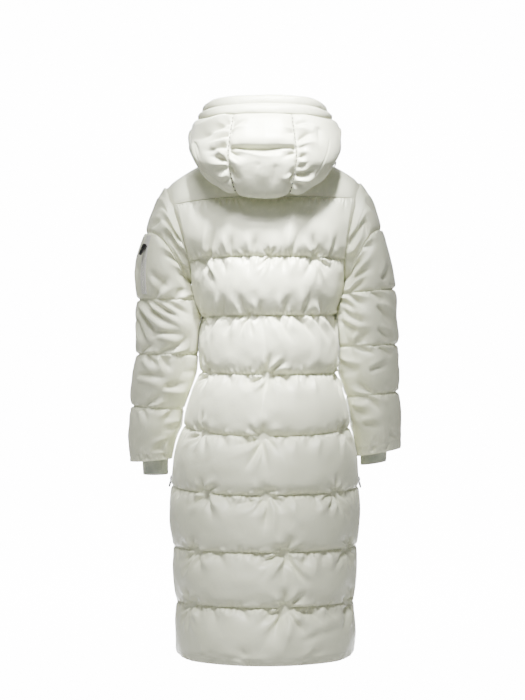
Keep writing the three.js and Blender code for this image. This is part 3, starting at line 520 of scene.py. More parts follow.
def sewOn(piece, material):
    piece.data.materials.append(material)
    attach(piece, "coat")
    print("stage:", piece.name, len(piece.data.polygons), "faces")


# a piece that stands for a CAD node
def finishPiece(piece, node, material):
    sewOn(piece, material)
    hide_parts(node)


# body panels

# where a point of the photo's width lies on the back, as the panel's place
def placeAt(x, row):
    side = "left" if x > 0 else "right"
    wrap = math.radians(float(bodyAt("wrap", min(row, 4))))
    end = float(bodyAt(side, max(row, underarmRow)))
    share = min(abs(x) * math.sin(wrap) / end, 1)
    return math.copysign(math.asin(share) / wrap, x)


backLook = {
    "width": 262,  # of half the panel, across
    "gathers": {"gap": 10.5, "long": 29, "wide": 4.0, "deep": 5.4, "above": 0.65},
    "lumps": {"deep": 2.2, "sizes": (46, 21), "starts": (400, 900)},
    "knots": [  # row, x in millimetres, size
        (2, 105, 20), (2, -8, 16), (2, -96, 20), (3, 118, 20), (3, 32, 17), (3, -140, 20), (4, 110, 24),
        (4, -6, 28), (4, -139, 24), (5, 123, 24), (5, 6, 27), (5, -153, 22), (6, 117, 24), (6, -2, 27),
        (6, -139, 24), (7, 136, 26), (7, -40, 28), (7, -164, 24), (8, 146, 26), (8, -40, 30),
        (8, -166, 24),
    ],
    "creases": [  # from row, x, to row, x, width, depth: the long folds between the knots
        (4.02, -6, 4.98, 6, 13, 4.5), (5.02, 6, 5.98, -2, 13, 4.5), (6.05, -2, 6.95, -36, 15, 3.5),
        (7.03, -40, 7.97, -40, 12, 3.6), (8.03, -40, 8.95, 20, 14, 4.5), (3.03, 10, 3.95, -4, 14, 3.0),
        (1.98, 100, 1.45, 70, 9, 5.0), (1.98, 60, 1.62, 52, 7, 4.0), (1.98, 20, 1.66, 12, 7, 3.6),
        (1.98, -50, 1.55, -62, 8, 4.4), (1.98, -96, 1.58, -80, 8, 4.6), (1.98, -120, 1.60, -125, 7, 4.0),
        (2.02, 120, 2.36, 95, 8, 4.0), (2.02, 80, 2.30, 66, 7, 3.6), (2.02, 30, 2.36, 30, 8, 3.0),
        (2.02, -40, 2.30, -28, 7, 3.0), (2.02, -90, 2.42, -60, 8, 3.8), (2.98, 84, 2.62, 72, 7, 4.4),
        (2.98, 40, 2.60, 46, 7, 4.0), (2.98, 8, 2.70, 6, 6, 3.6), (2.98, -36, 2.62, -44, 7, 4.4),
        (2.98, -72, 2.52, -84, 8, 4.6), (2.98, -108, 2.66, -100, 7, 4.0), (3.02, 92, 3.40, 104, 8, 4.4),
        (3.02, 62, 3.34, 74, 7, 4.4), (3.02, -24, 3.46, -52, 8, 4.0), (3.02, -60, 3.52, -96, 9, 5.4),
        (3.02, -92, 3.44, -120, 8, 4.6), (3.02, -118, 3.36, -134, 7, 4.0), (4.02, 70, 4.24, 58, 8, 4.2),
        (4.02, 36, 4.32, 22, 9, 4.6), (4.02, -50, 4.30, -34, 9, 4.6), (4.02, -86, 4.26, -70, 8, 4.4),
        (5.02, 84, 5.24, 64, 8, 4.2), (5.02, 44, 5.20, 26, 8, 4.0), (5.02, -46, 5.24, -26, 8, 4.4),
        (5.02, -96, 5.26, -74, 8, 4.2), (6.02, 80, 6.26, 58, 9, 4.4), (6.02, 40, 6.20, 20, 8, 4.0),
        (6.02, -44, 6.26, -20, 9, 4.4), (6.02, -96, 6.22, -78, 8, 4.0), (7.02, 96, 7.30, 70, 10, 4.6),
        (7.02, 20, 7.26, -6, 9, 4.2), (7.02, -84, 7.32, -58, 10, 4.6), (7.02, -120, 7.24, -104, 8, 4.0),
        (8.02, 104, 8.34, 84, 10, 4.8), (8.02, 50, 8.26, 26, 9, 4.2), (8.02, 0, 8.24, -18, 8, 3.8),
        (8.02, -86, 8.34, -112, 10, 4.8), (8.02, -120, 8.26, -140, 9, 4.2),
        (8.55, -70, 8.42, -170, 9, 2.6), (8.96, 30, 8.60, 52, 8, 3.8), (8.96, -70, 8.70, -110, 8, 3.0),
        (8.96, 110, 8.74, 96, 8, 2.6),
    ],
}


# where the pocket zips lie, by row: across a front panel and round the sleeve
handPocket = {"half": 11, "panel": 290, "from": 4.86, "to": 6.12, "front": 0.62, "side": 0.88}
sleevePocket = {"half": 7, "from": 1.08, "to": 1.92, "turn": math.radians(48), "radius": 62}


def pocketSlant(row):
    share = (row - handPocket["from"]) / (handPocket["to"] - handPocket["from"])
    return lerp(handPocket["front"], handPocket["side"], share)


# 0 on a pocket's zip, 1 well beside it
def besidePocket(across, row, pocket, ends=0.1):
    first, last = pocket["from"], pocket["to"]
    inRows = smooth(row, first - ends, first) * (1 - smooth(row, last, last + ends))
    return 1 - inRows * (1 - smooth(np.abs(across), pocket["half"] + 1, pocket["half"] + 20))


def bodyRelief(u, v, row, look, seams, low, high, seed):
    out = filling(u, v, look["lumps"], seed) * smooth(np.abs(np.sin(np.pi * row)), 0, 0.6)
    for i, seam in enumerate(seams):
        out += gathers(u, v, seam * rowLength, low, high, look["gathers"], seed + 10 + i)
    for i, (kr, kx, size) in enumerate(look["knots"]):
        out += knotFolds(u, v, (placeAt(kx, kr) * look["width"], kr * rowLength, size), seed + 60 + i)
    for r0, x0, r1, x1, width, depth in look["creases"]:
        crease = (placeAt(x0, r0) * look["width"], r0 * rowLength, placeAt(x1, r1) * look["width"],
                  r1 * rowLength, width, depth)
        out += fold(u, v, crease)
    return out


armholePinch = {"body": 3.4, "sleeve": 3.2}


# a panel of the body: face is 1 at the back and -1 in front, places and rows are where it starts and ends
def bodyPanel(name, face, places, rows, grid, look, seams, seed, trim=None):
    isFront = face < 0
    fromRow, toRow = rows

    def parts(a, b):
        place = lerp(*places, a)
        row = np.clip(crowded(b, fromRow, toRow), fromRow, toRow)
        return place, np.abs(place), row

    def each(place, make):
        left, right = make("left"), make("right")
        right[..., 0] *= -1
        return np.where((place < 0)[..., None], right, left)

    def liningOf(side, far, row):
        point = liningPoint((side, face, panelStart[face]), far, row)
        mitred = 1 + smooth(row, 1.6, underarmRow)
        atArm = smooth(far, 0.97, 1) * (row < underarmRow + 0.01)
        point = point - armholes[side]["out"] * (halfGap * mitred * atArm)[..., None]
        atSeam = ((row < 0.001) & (far > neckShare)) | ((far > 0.999) & (row >= underarmRow - 0.01))
        point[..., 1] += face * halfGap * atSeam
        return trim(point) if trim else point

    def outside(a, b):
        place, far, row = parts(a, b)
        low, high = sorted(end * look["width"] for end in places)
        relief = bodyRelief(place * look["width"], row * rowLength, row, look, seams, low, high, seed)
        edge = smooth(1 - far, 0, 0.06)
        if isFront:
            edge = edge * smooth(far, 0, 0.08)
            relief = relief * besidePocket((far - pocketSlant(row)) * handPocket["panel"], row, handPocket)
        ends = smooth(row, fromRow, fromRow + 0.05) * (1 - smooth(row, toRow - 0.05, toRow))
        relief = relief * besideStitches(row, bodyStitchRow) * edge * (0.25 + 0.75 * ends)

        def make(side):
            direction = panelDirection((side, face, panelStart[face]), far, row)
            if not isFront:
                direction[..., 0] *= smooth(far, 0, 0.002)
            loft = panelLoft(face, far, row, isFront)
            room = np.minimum(1, (loft + 2) / 14)
            thick = seamWall + loft * baffle(row, bodySag) + relief * room
            atArmhole = smooth(far, 0.94, 0.995) * (row < underarmRow)
            drawn = pinch["deep"] * quiltLine(row) * ends + armholePinch["body"] * atArmhole
            return liningOf(side, far, row) + direction * np.maximum(thick - drawn, thinnest)[..., None]
        return each(place, make)

    def inside(a, b):
        place, far, row = parts(a, b)
        return each(place, lambda side: liningOf(side, far, row))
    return filledPanel(name, *grid, outside, inside)


hemLook = {"height": -1026, "half": 180, "corner": 42, "rise": 15, "reach": 60}


# the back's lower corners are rounded at the side vents
def roundedHem(point):
    inset = np.clip(1 - (hemLook["half"] - np.abs(point[..., 0])) / hemLook["corner"], 0, 1)
    floor = hemLook["height"] + hemLook["rise"] * (1 - np.sqrt(1 - inset ** 2))
    near = smooth(-point[..., 2], -hemLook["height"] - hemLook["reach"], -hemLook["height"])
    point[..., 2] = lerp(point[..., 2], np.maximum(point[..., 2], floor), near)
    return point


seamShare = 2 * halfGap / rowHeight
yokeLook = dict(backLook, lumps=dict(backLook["lumps"], deep=0.8), knots=[],
                gathers={"gap": 30, "long": 22, "wide": 5, "deep": 1.6, "above": 0.6},
                creases=[(0.96, 150, 0.6, 140, 8, 1.6), (0.96, 110, 0.7, 118, 7, 1.4),
                         (0.96, -140, 0.62, -128, 8, 1.8), (0.96, -100, 0.66, -92, 8, 1.4)])
backYoke = bodyPanel("backYoke", 1, (-1, 1), (0, 1 - seamShare), (130, 26), yokeLook, [1], 11)
finishPiece(backYoke, "back_yoke", shell)
backPanel = bodyPanel("backPanel", 1, (-1, 1), (1 + seamShare, hemRow), (280, 288), backLook,
                      range(1, hemRow + 1), 21, trim=roundedHem)
finishPiece(backPanel, "back_panel", shell)

frontLook = {
    "width": 262,
    "gathers": {"gap": 14, "long": 30, "wide": 5.2, "deep": 5.0, "above": 0.6},
    "lumps": {"deep": 2.2, "sizes": (46, 21), "starts": (400, 900)},
    "shorter": 12,  # than the back
    "aside": 14,  # how far the right front's folds lie off the left one's, at most
    "knots": [
        (2, 96, 18), (3, 60, 20), (4, 84, 22), (5, 66, 24), (6, 96, 24), (7, 70, 24), (8, 100, 26),
    ],
    "creases": [
        (1.02, 60, 1.5, 90, 10, 3.4), (1.98, 70, 1.5, 50, 9, 3.6), (2.05, 110, 2.5, 90, 9, 3.4),
        (3.02, 60, 3.6, 90, 10, 3.6), (4.02, 84, 4.6, 60, 10, 3.8), (5.05, 66, 5.7, 84, 11, 3.6),
        (6.02, 96, 6.6, 76, 10, 3.6), (7.02, 70, 7.7, 86, 11, 3.4), (8.02, 100, 8.7, 84, 11, 3.6),
        (2.98, 120, 2.6, 110, 8, 3.0), (4.98, 130, 4.7, 110, 8, 3.0), (6.98, 140, 6.6, 120, 8, 3.0),
    ],
}
for side, sign in sideSign.items():
    # by a different amount on each row, and not at all on the left
    off = {row: (0 if side == "left" else frontLook["aside"] * math.sin(2.2 * row)) for row in range(1, 10)}
    knots = [(row, (x + off[row]) * sign, size) for row, x, size in frontLook["knots"]]
    creases = [(r0, (x0 + off[round(r0)]) * sign, r1, (x1 - off[round(r0)]) * sign, width, depth)
               for r0, x0, r1, x1, width, depth in frontLook["creases"]]
    rows = 0, hemRow - frontLook["shorter"] / rowHeight
    front = bodyPanel("front" + side.capitalize(), -1, (0.0001 * sign, sign), rows, (130, 288),
                      dict(frontLook, knots=knots, creases=creases), range(1, hemRow), 31 + sign)
    finishPiece(front, "front_" + side, shell)

# sleeves

# a sleeve's rings: row, x and z of the side at the body, x and z of the outer side, the middle's y and half
# the depth
sleeveRows = {
    "left": [
        [0.5, 162, -246, 223, -86, 0, 68], [1, 162, -253, 247, -146, 0, 68],
        [1.5, 156, -266, 259, -214, -1, 65], [2, 146, -284, 262, -283, -3, 62],
        [2.5, 141, -340, 257, -340, -5, 60], [3, 150, -397, 264, -397, -9, 58],
        [3.5, 165, -455, 266, -451, -13, 55], [4, 184, -512, 275, -506, -18, 52],
        [4.5, 192, -566, 276, -566, -24, 49], [5, 200, -618, 281, -624, -30, 46],
    ],
    "right": [
        [0.5, 173, -247, 217, -78, 0, 68], [1, 173, -252, 241, -140, 0, 68],
        [1.5, 167, -262, 252, -200, -1, 65], [2, 159, -272, 267, -261, -3, 62],
        [2.5, 155, -326, 264, -320, -5, 60], [3, 161, -381, 273, -377, -9, 58],
        [3.5, 169, -434, 268, -427, -13, 55], [4, 182, -486, 275, -476, -18, 52],
        [4.5, 189, -548, 275, -535, -24, 49], [5, 197, -612, 283, -596, -30, 46],
    ],
}
for side in sideSign:
    a = armholes[side]
    first = [0, a["under"][0], a["under"][2], a["tip"][0], a["tip"][2], 0, armholeDepth]
    sleeveRows[side] = np.array([first] + sleeveRows[side], float)


def sleeveRing(side, row):
    table = sleeveRows[side]
    at = column(table[:, 0], table[:, 1:], row)
    inner = pile(at[..., 0], 0, at[..., 1])
    outer = pile(at[..., 2], 0, at[..., 3])
    middle = (inner + outer) / 2
    middle[..., 1] = at[..., 4]
    return middle, (outer - inner) / 2, at[..., 5]


def sleeveDirection(side, turn, row):
    _, reach, _ = sleeveRing(side, row)
    outwards = unit(reach) * np.cos(turn)[..., None]
    outwards[..., 1] += np.sin(turn)
    blend = (1 - smooth(row, 0, 0.4))[..., None]
    return unit(lerp(unit(outwards), armholeDirection(side, turn), blend))


def sleeveLining(side, turn, row):
    middle, reach, depth = sleeveRing(side, row)
    bow = 30 * np.sin(turn) ** 2 * smooth(row, 0, 1) * (1 - smooth(row, 1, 2))
    point = middle + reach * np.cos(turn)[..., None]
    point[..., 1] += depth * np.sin(turn)
    point[..., 2] += bow
    return point


# how far the body's side stands out at a height and depth
bodyLines = {}
for side in sideSign:
    for face in (1, -1):
        row, far = np.meshgrid(np.linspace(1.2, 6.2, 76), np.linspace(0.4, 1, 19), indexing="ij")
        bodyLines[side, face] = panelSkin((side, face, panelStart[face]), far, row, sag=0)


def bodyReach(side, y, z):
    out = np.zeros_like(y)
    for face in (1, -1):
        here = (y > 0) == (face > 0)
        yy, zz = np.abs(y[here]), z[here]
        lines = bodyLines[side, face]
        orders = [np.argsort(np.abs(line[:, 1])) for line in lines]
        xs, zs = [np.array([np.interp(yy, np.abs(line[order, 1]), line[order, axis])
                            for line, order in zip(lines, orders)]) for axis in (0, 2)]
        below = np.clip(np.argmax(zs < zz[None, :], axis=0), 1, len(lines) - 1)
        pick = np.arange(len(zz))
        zHigh, zLow = zs[below - 1, pick], zs[below, pick]
        share = np.clip((zHigh - zz) / np.maximum(zHigh - zLow, 1e-6), 0, 1)
        out[here] = lerp(xs[below - 1, pick], xs[below, pick], share)
    return out


# a sleeve hangs clear of the body, and is drawn towards it where they come close
hangLook = {"clear": 1.4, "drawn": 0.85, "near": (7, 2), "blend": (8, 44)}  # upper arm, forearm


def pressed(side, row, point, cover):
    least = bodyReach(side, point[..., 1], point[..., 2]) + hangLook["clear"] * smooth(row, 0, 0.3) + cover
    apart = point[..., 0] - least
    forearm = smooth(row, 2.7, 3.5)
    near, blend = lerp(*hangLook["near"], forearm), lerp(*hangLook["blend"], forearm)
    closer = (apart > 0) * (1 - smooth(apart, near, near + blend)) * (1 - smooth(row, 4.2, 4.75))
    moved = np.maximum(point[..., 0], least) - hangLook["drawn"] * np.maximum(apart, 0) * closer
    point[..., 0] = np.where(row < 0.05, point[..., 0], moved)
    return point


# fullest on the outer side, flatter towards the body, over the shoulder and at the hem
def sleeveLoft(turn, row):
    facing = (1 - np.cos(turn)) / 2
    loft = lerp(10, 2, smooth(facing, 0.35, 0.85))
    cap = np.where(row < 1, lerp(1, 0.25, facing) * 0.8, 1)
    return loft * cap * (1 - 0.6 * smooth(row, 4.4, 5))


# a point lifted off a sleeve's outside, before its folds
def sleeveSkin(side, turn, row, lift=0):
    thick = seamWall + sleeveLoft(turn, row) * baffle(row, sleeveSag) + lift
    return sleeveLining(side, turn, row) + sleeveDirection(side, turn, row) * thick[..., None]


sleeveLook = {
    "radius": 58,
    "seamDeeper": 1.5,  # a quilting line's depth, against the body's
    "gathers": {"gap": 13, "long": 24, "wide": 4.6, "deep": 4.0, "above": 0.7},
    "lumps": {"deep": 1.6, "sizes": (42, 19), "starts": (0, 0)},
    "creaseWidth": 0.9,  # what the creases' widths and depths are multiplied by
    "creaseDepth": 1.35,
    # from row, degrees, to row, degrees, width, depth: 0 faces out, 90 back, -90 front, 180 the body
    "creases": {
        "left": [
            (0.10, 118, 0.92, 76, 8, 5.0), (0.16, 100, 0.86, 52, 8, 4.4), (0.3, 140, 0.96, 118, 8, 4.4),
            (0.5, 92, 0.98, 90, 6, 3.4), (0.7, 60, 0.97, 40, 6, 3.0), (0.3, 60, 0.8, 20, 8, 3.2),
            (1.04, 150, 1.5, 120, 8, 4.4), (1.06, 120, 1.34, 84, 6, 3.2), (1.97, 70, 1.55, 104, 6, 3.4),
            (1.97, 110, 1.62, 140, 7, 4.2), (1.95, 138, 1.75, 165, 6, 3.6), (1.6, 60, 1.8, 100, 7, 3.4),
            (1.55, 30, 1.96, 50, 7, 3.2), (2.03, 40, 2.55, 118, 7, 6.0), (2.05, 62, 2.42, 140, 6, 5.2),
            (2.06, 90, 2.34, 148, 6, 4.8), (2.2, 34, 2.8, 84, 7, 5.4), (2.36, 28, 2.92, 64, 6, 4.6),
            (2.6, 70, 2.7, 130, 7, 4.2), (2.96, 84, 2.66, 140, 7, 4.0), (2.96, 40, 2.8, 70, 6, 3.6),
            (3.03, 52, 3.24, 88, 6, 4.0), (3.05, 84, 3.30, 110, 6, 4.0), (3.4, 44, 3.46, 104, 7, 4.0),
            (3.6, 100, 3.5, 150, 7, 4.2), (3.96, 70, 3.72, 100, 6, 3.0), (4.04, 60, 4.3, 80, 6, 2.6),
            (4.03, 130, 4.3, 112, 7, 3.4), (4.3, 150, 4.42, 112, 7, 3.0), (4.62, 128, 4.86, 96, 7, 2.6),
            (4.94, 130, 4.66, 104, 5, 2.2), (4.95, 84, 4.76, 74, 5, 2.0), (4.96, 60, 4.8, 50, 5, 2.0),
            (1.1, -60, 1.8, -110, 8, 3.4), (2.1, -50, 2.7, -120, 8, 4.0), (2.4, -30, 2.9, -70, 8, 3.6),
            (3.1, -60, 3.6, -110, 8, 3.6), (3.5, -40, 3.9, -80, 8, 3.0), (4.1, -70, 4.6, -110, 8, 2.8),
            (0.3, -100, 0.9, -60, 8, 3.6), (0.5, -130, 0.95, -110, 8, 3.4),
        ],
        "right": [
            (0.12, 104, 0.5, 68, 7, 3.6), (0.2, 124, 0.9, 112, 8, 4.6), (0.35, 90, 0.95, 60, 7, 4.0),
            (0.6, 74, 0.97, 80, 6, 3.4), (0.4, 40, 0.9, 16, 8, 3.0), (1.04, 140, 1.36, 100, 7, 4.2),
            (1.05, 96, 1.3, 64, 6, 3.4), (1.5, 120, 1.62, 72, 8, 4.6), (1.96, 128, 1.7, 92, 7, 4.2),
            (1.8, 60, 1.62, 30, 7, 3.2), (2.05, 132, 2.3, 92, 7, 5.0), (2.12, 150, 2.52, 100, 6, 5.0),
            (2.34, 140, 2.6, 84, 6, 4.8), (2.52, 146, 2.8, 92, 6, 4.4), (2.05, 84, 2.26, 50, 6, 4.2),
            (2.3, 70, 2.62, 40, 7, 4.6), (2.7, 70, 2.9, 46, 6, 3.8), (2.96, 116, 2.72, 84, 6, 3.8),
            (3.04, 120, 3.2, 78, 6, 4.2), (3.05, 72, 3.24, 44, 6, 3.6), (3.3, 150, 3.52, 112, 7, 4.4),
            (3.5, 90, 3.42, 50, 7, 3.2), (3.96, 100, 3.7, 126, 6, 3.0), (4.04, 110, 4.34, 78, 7, 3.4),
            (4.2, 140, 4.36, 104, 7, 3.6), (4.5, 120, 4.6, 76, 7, 3.0), (4.95, 112, 4.72, 92, 5, 2.2),
            (4.95, 70, 4.76, 60, 5, 2.0), (4.7, 60, 4.86, 34, 6, 2.2), (1.1, -60, 1.8, -110, 8, 3.4),
            (2.1, -110, 2.7, -50, 8, 4.0), (2.4, -70, 2.9, -30, 8, 3.6), (3.1, -110, 3.6, -60, 8, 3.6),
            (3.5, -80, 3.9, -40, 8, 3.0), (4.1, -110, 4.6, -70, 8, 2.8), (0.3, -100, 0.9, -60, 8, 3.6),
            (0.5, -130, 0.95, -110, 8, 3.4),
        ],
    },
}


def sleevePiece(side, grid, seed):
    sign, radius = sideSign[side], sleeveLook["radius"]
    seamDeep = sleeveLook["seamDeeper"] * pinch["deep"]

    def offBody(point, row, cover):
        point = point + armholes[side]["out"] * (halfGap * (1 - smooth(row, 0, 0.5)))[..., None]
        point = pressed(side, row, point, cover)
        point[..., 0] *= sign
        return point

    def outside(a, b):
        turn, row = (2 * a - 1) * np.pi, crowded(b, 0, 5)
        u, v = turn * radius, row * rowLength
        relief = filling(u, v, sleeveLook["lumps"], seed) * smooth(np.abs(np.sin(np.pi * row)), 0, 0.5)
        for seam in range(1, 6):
            relief += gathers(u, v, seam * rowLength, -np.pi * radius, np.pi * radius,
                              sleeveLook["gathers"], seed + 10 + seam)
        for r0, d0, r1, d1, width, depth in sleeveLook["creases"][side]:
            relief += fold(u, v, (math.radians(d0) * radius, r0 * rowLength, math.radians(d1) * radius,
                                  r1 * rowLength, sleeveLook["creaseWidth"] * width,
                                  sleeveLook["creaseDepth"] * depth))
        facing = (1 - np.cos(turn)) / 2
        ends = smooth(row, 0.0, 0.12) * (1 - smooth(row, 4.95, 5)) * besideStitches(row, sleeveStitchRow)
        join = 1 - smooth(np.abs(turn), np.pi - 0.16, np.pi)
        relief *= ends * lerp(1, 0.35, smooth(facing, 0.6, 0.95)) * join
        if side == "left":
            across = (turn - sleevePocket["turn"]) * sleevePocket["radius"]
            relief *= besidePocket(across, row, sleevePocket)
        thick = seamWall + sleeveLoft(turn, row) * baffle(row, sleeveSag) + relief
        thick -= seamDeep * quiltLine(row) * (row > 0.5) * (row < 4.9)
        thick -= armholePinch["sleeve"] * (1 - smooth(row, 0.01, 0.09))
        thick = np.maximum(thick, thinnest)[..., None]
        return offBody(sleeveLining(side, turn, row) + sleeveDirection(side, turn, row) * thick, row, 0)

    def inside(a, b):
        turn, row = (2 * a - 1) * np.pi, b * 5
        return offBody(sleeveLining(side, turn, row), row, seamWall - 1)
    return filledTube("sleeve" + side.capitalize(), *grid, outside, inside)


for side in sideSign:
    sleeve = sleevePiece(side, (180, 200), 51 if side == "left" else 71)
    finishPiece(sleeve, "sleeve_" + side, shell)

# storm cuffs, ribbed lengthways. Their rows: place, size, and how far their middle lies off the sleeve's
cuffRows = np.array([
    [0, 1, 0, 0, 0], [0.25, 0.84, 0, -1, -16], [0.55, 0.7, -2, -4, -42], [1, 0.66, -3, -8, -80],
], float)
cuffLook = {"row": 4.55, "ease": 1.1, "wall": 1.7, "ribs": 34, "ribHeight": 0.7, "ribFoot": 0.8}


def cuffPiece(side):
    def cuffPoint(a, b, inset, ribHeight):
        turn = a * 2 * np.pi
        middle, reach, depth = sleeveRing(side, np.full_like(a, cuffLook["row"]))
        at = column(cuffRows[:, 0], cuffRows[:, 1:], b)
        ends = smooth(b, 0.02, 0.1) * (1 - smooth(b, 0.96, 1))
        out = ribHeight * np.abs(np.sin(turn * cuffLook["ribs"])) * ends - inset - cuffLook["ribFoot"]
        wide = (np.linalg.norm(reach, axis=-1) - cuffLook["ease"]) * at[..., 0] + out
        deep = (depth - cuffLook["ease"]) * at[..., 0] + out
        point = middle + at[..., 1:] + unit(reach) * (wide * np.cos(turn))[..., None]
        point[..., 1] += deep * np.sin(turn)
        point[..., 0] *= sideSign[side]
        return point

    def outside(a, b):
        return cuffPoint(a, b, 0, cuffLook["ribHeight"])

    def inside(a, b):
        return cuffPoint(a, b, cuffLook["wall"], 0)
    return filledTube("cuff" + side.capitalize(), 408, 30, outside, inside)


for side in sideSign:
    cuff = cuffPiece(side)
    finishPiece(cuff, "cuff_" + side, rib)

collarLook = {
    "foot": 1.5, "backHeight": 62, "frontHeight": 74, "lean": 4, "wall": 3.5, "loft": 5, "thinnest": 2.2,
    "round": 500, "high": 68, "lumps": 0.8,
    "gathers": {"gap": 18, "long": 16, "wide": 3.6, "deep": 1.4, "above": 0.9},
}


# the stand collar, from the left front edge round the back to the right one
def collarPiece(look):
    def point(a, height, out):
        left = 2 * a - 1 <= 0
        at = np.maximum(1 - np.abs(2 * a - 1), 0.0005)
        base = neckAt(1 - at)
        base = base + outOfNeck(base, 0 * at) * (look["lean"] * height + out)[..., None]
        base[..., 2] += look["foot"] + lerp(look["frontHeight"], look["backHeight"], at) * height
        base[..., 0] *= np.where(left, 1, -1)
        return base

    def outside(a, b):
        u, v = a * look["round"], b * look["high"]
        relief = look["lumps"] * lumps(u, v, 30, 5)
        for i, share in enumerate((0, 0.5, 1)):
            relief += gathers(u, v, share * look["high"], 0, look["round"], look["gathers"], 80 + i)
        ends = smooth(a, 0, 0.03) * (1 - smooth(a, 0.97, 1)) * smooth(b, 0, 0.08) * (1 - smooth(b, 0.92, 1))
        thick = look["wall"] + look["loft"] * np.abs(np.sin(2 * np.pi * b)) ** 0.6 + relief * ends
        return point(a, b, np.maximum(thick, look["thinnest"]))

    def inside(a, b):
        return point(a, b, 0 * a)
    return filledPanel("standCollar", 200, 36, outside, inside)


finishPiece(collarPiece(collarLook), "collar", shell)

# hood: sections from the centre back round to the front end, each from the neck seam over to the rim
hoodNeck = {"end": 0.86, "out": 11.65, "rise": 16}
hoodAt = np.array([0, 0.2, 0.4, 0.6, 0.8, 1])
hoodSections = [
    [(0, 138, -56), (0, 160, -76), (0, 190, -14), (0, 160, 70), (0, 106, 132)],
    [(57, 129, -48), (66, 152, -68), (82, 176, -8), (74, 150, 70), (62, 103, 131)],
    [(105, 92, -12), (118, 124, -42), (132, 133, 5), (123, 114, 68), (102, 84, 126)],
    [(124, 36, 14), (141, 62, 9), (148, 70, 34), (142, 55, 76), (119, 42, 112)],
    [(110, -32, 22), (124, -20, 30), (136, -8, 47), (128, -17, 74), (110, -20, 93)],
    [(69, -92, 4), (76, -92, 10), (86, -88, 24), (82, -88, 44), (70, -86, 57)],
]
hoodPoints = []
for at, section in zip(hoodAt, hoodSections):
    neck = neckAt(at * hoodNeck["end"])
    neck = neck + outOfNeck(neck, 0) * hoodNeck["out"] + np.array([0, 0, hoodNeck["rise"]])
    hoodPoints.append([neck] + [np.array(p, float) for p in section])
# where the hood's seams and quilting lines lie: by place, and by line from the neck at 0 to the rim
hoodSplit = {"left": 0.175, "right": 0.145}
hoodFold = 3.32
bandStart = 4.28
bandMiddle = 4.64
hoodRim = 5
splitGap = 0.0014
bandGap = 0.008


# a smooth curve through points, with the points' own spacing as its pace
def curveThrough(points, line):
    line = np.clip(np.asarray(line, float), 0, len(points) - 1)
    i = np.clip(np.floor(line).astype(int), 0, len(points) - 2)
    t = (line - i)[..., None]
    longer = np.array([2 * points[0] - points[1]] + list(points) + [2 * points[-1] - points[-2]])
    p0, p1, p2, p3 = [longer[i + k] for k in range(4)]

    def pace(a, b):
        return np.maximum(np.sum((a - b) ** 2, axis=-1, keepdims=True), 1e-8) ** 0.25
    d0, d1, d2 = pace(p0, p1), pace(p1, p2), pace(p2, p3)
    t1 = ((p1 - p0) / d0 - (p2 - p0) / (d0 + d1) + (p2 - p1) / d1) * d1
    t2 = ((p2 - p1) / d1 - (p3 - p1) / (d1 + d2) + (p3 - p2) / d2) * d1
    return (p1 + t1 * t + (-3 * p1 + 3 * p2 - 2 * t1 - t2) * t ** 2 + (2 * p1 - 2 * p2 + t1 + t2) * t ** 3)


def hoodPoint(place, line):
    place, line = np.broadcast_arrays(np.asarray(place, float), np.asarray(line, float))
    curves = np.array([curveThrough(points, line) for points in hoodPoints])
    here = tuple(np.indices(place.shape))
    point = tableCurve(hoodAt, np.minimum(np.abs(place), 1), lambda i: curves[(i,) + here],
                       lambda a: a[..., None])
    point[..., 0] *= np.where(place < 0, -1, 1)
    return point


def hoodDirection(place, line):
    middle = lerp(hoodPoint(place, 0 * line), hoodPoint(place, 0 * line + hoodRim), 0.5)
    return normalOf(hoodPoint, np.clip(place, -0.985, 0.985), np.clip(line, 0.05, hoodRim - 0.05), middle)


def roundness(share):
    share = np.clip(share, 0, 1)
    return np.sqrt(1 - (1 - share) ** 2)


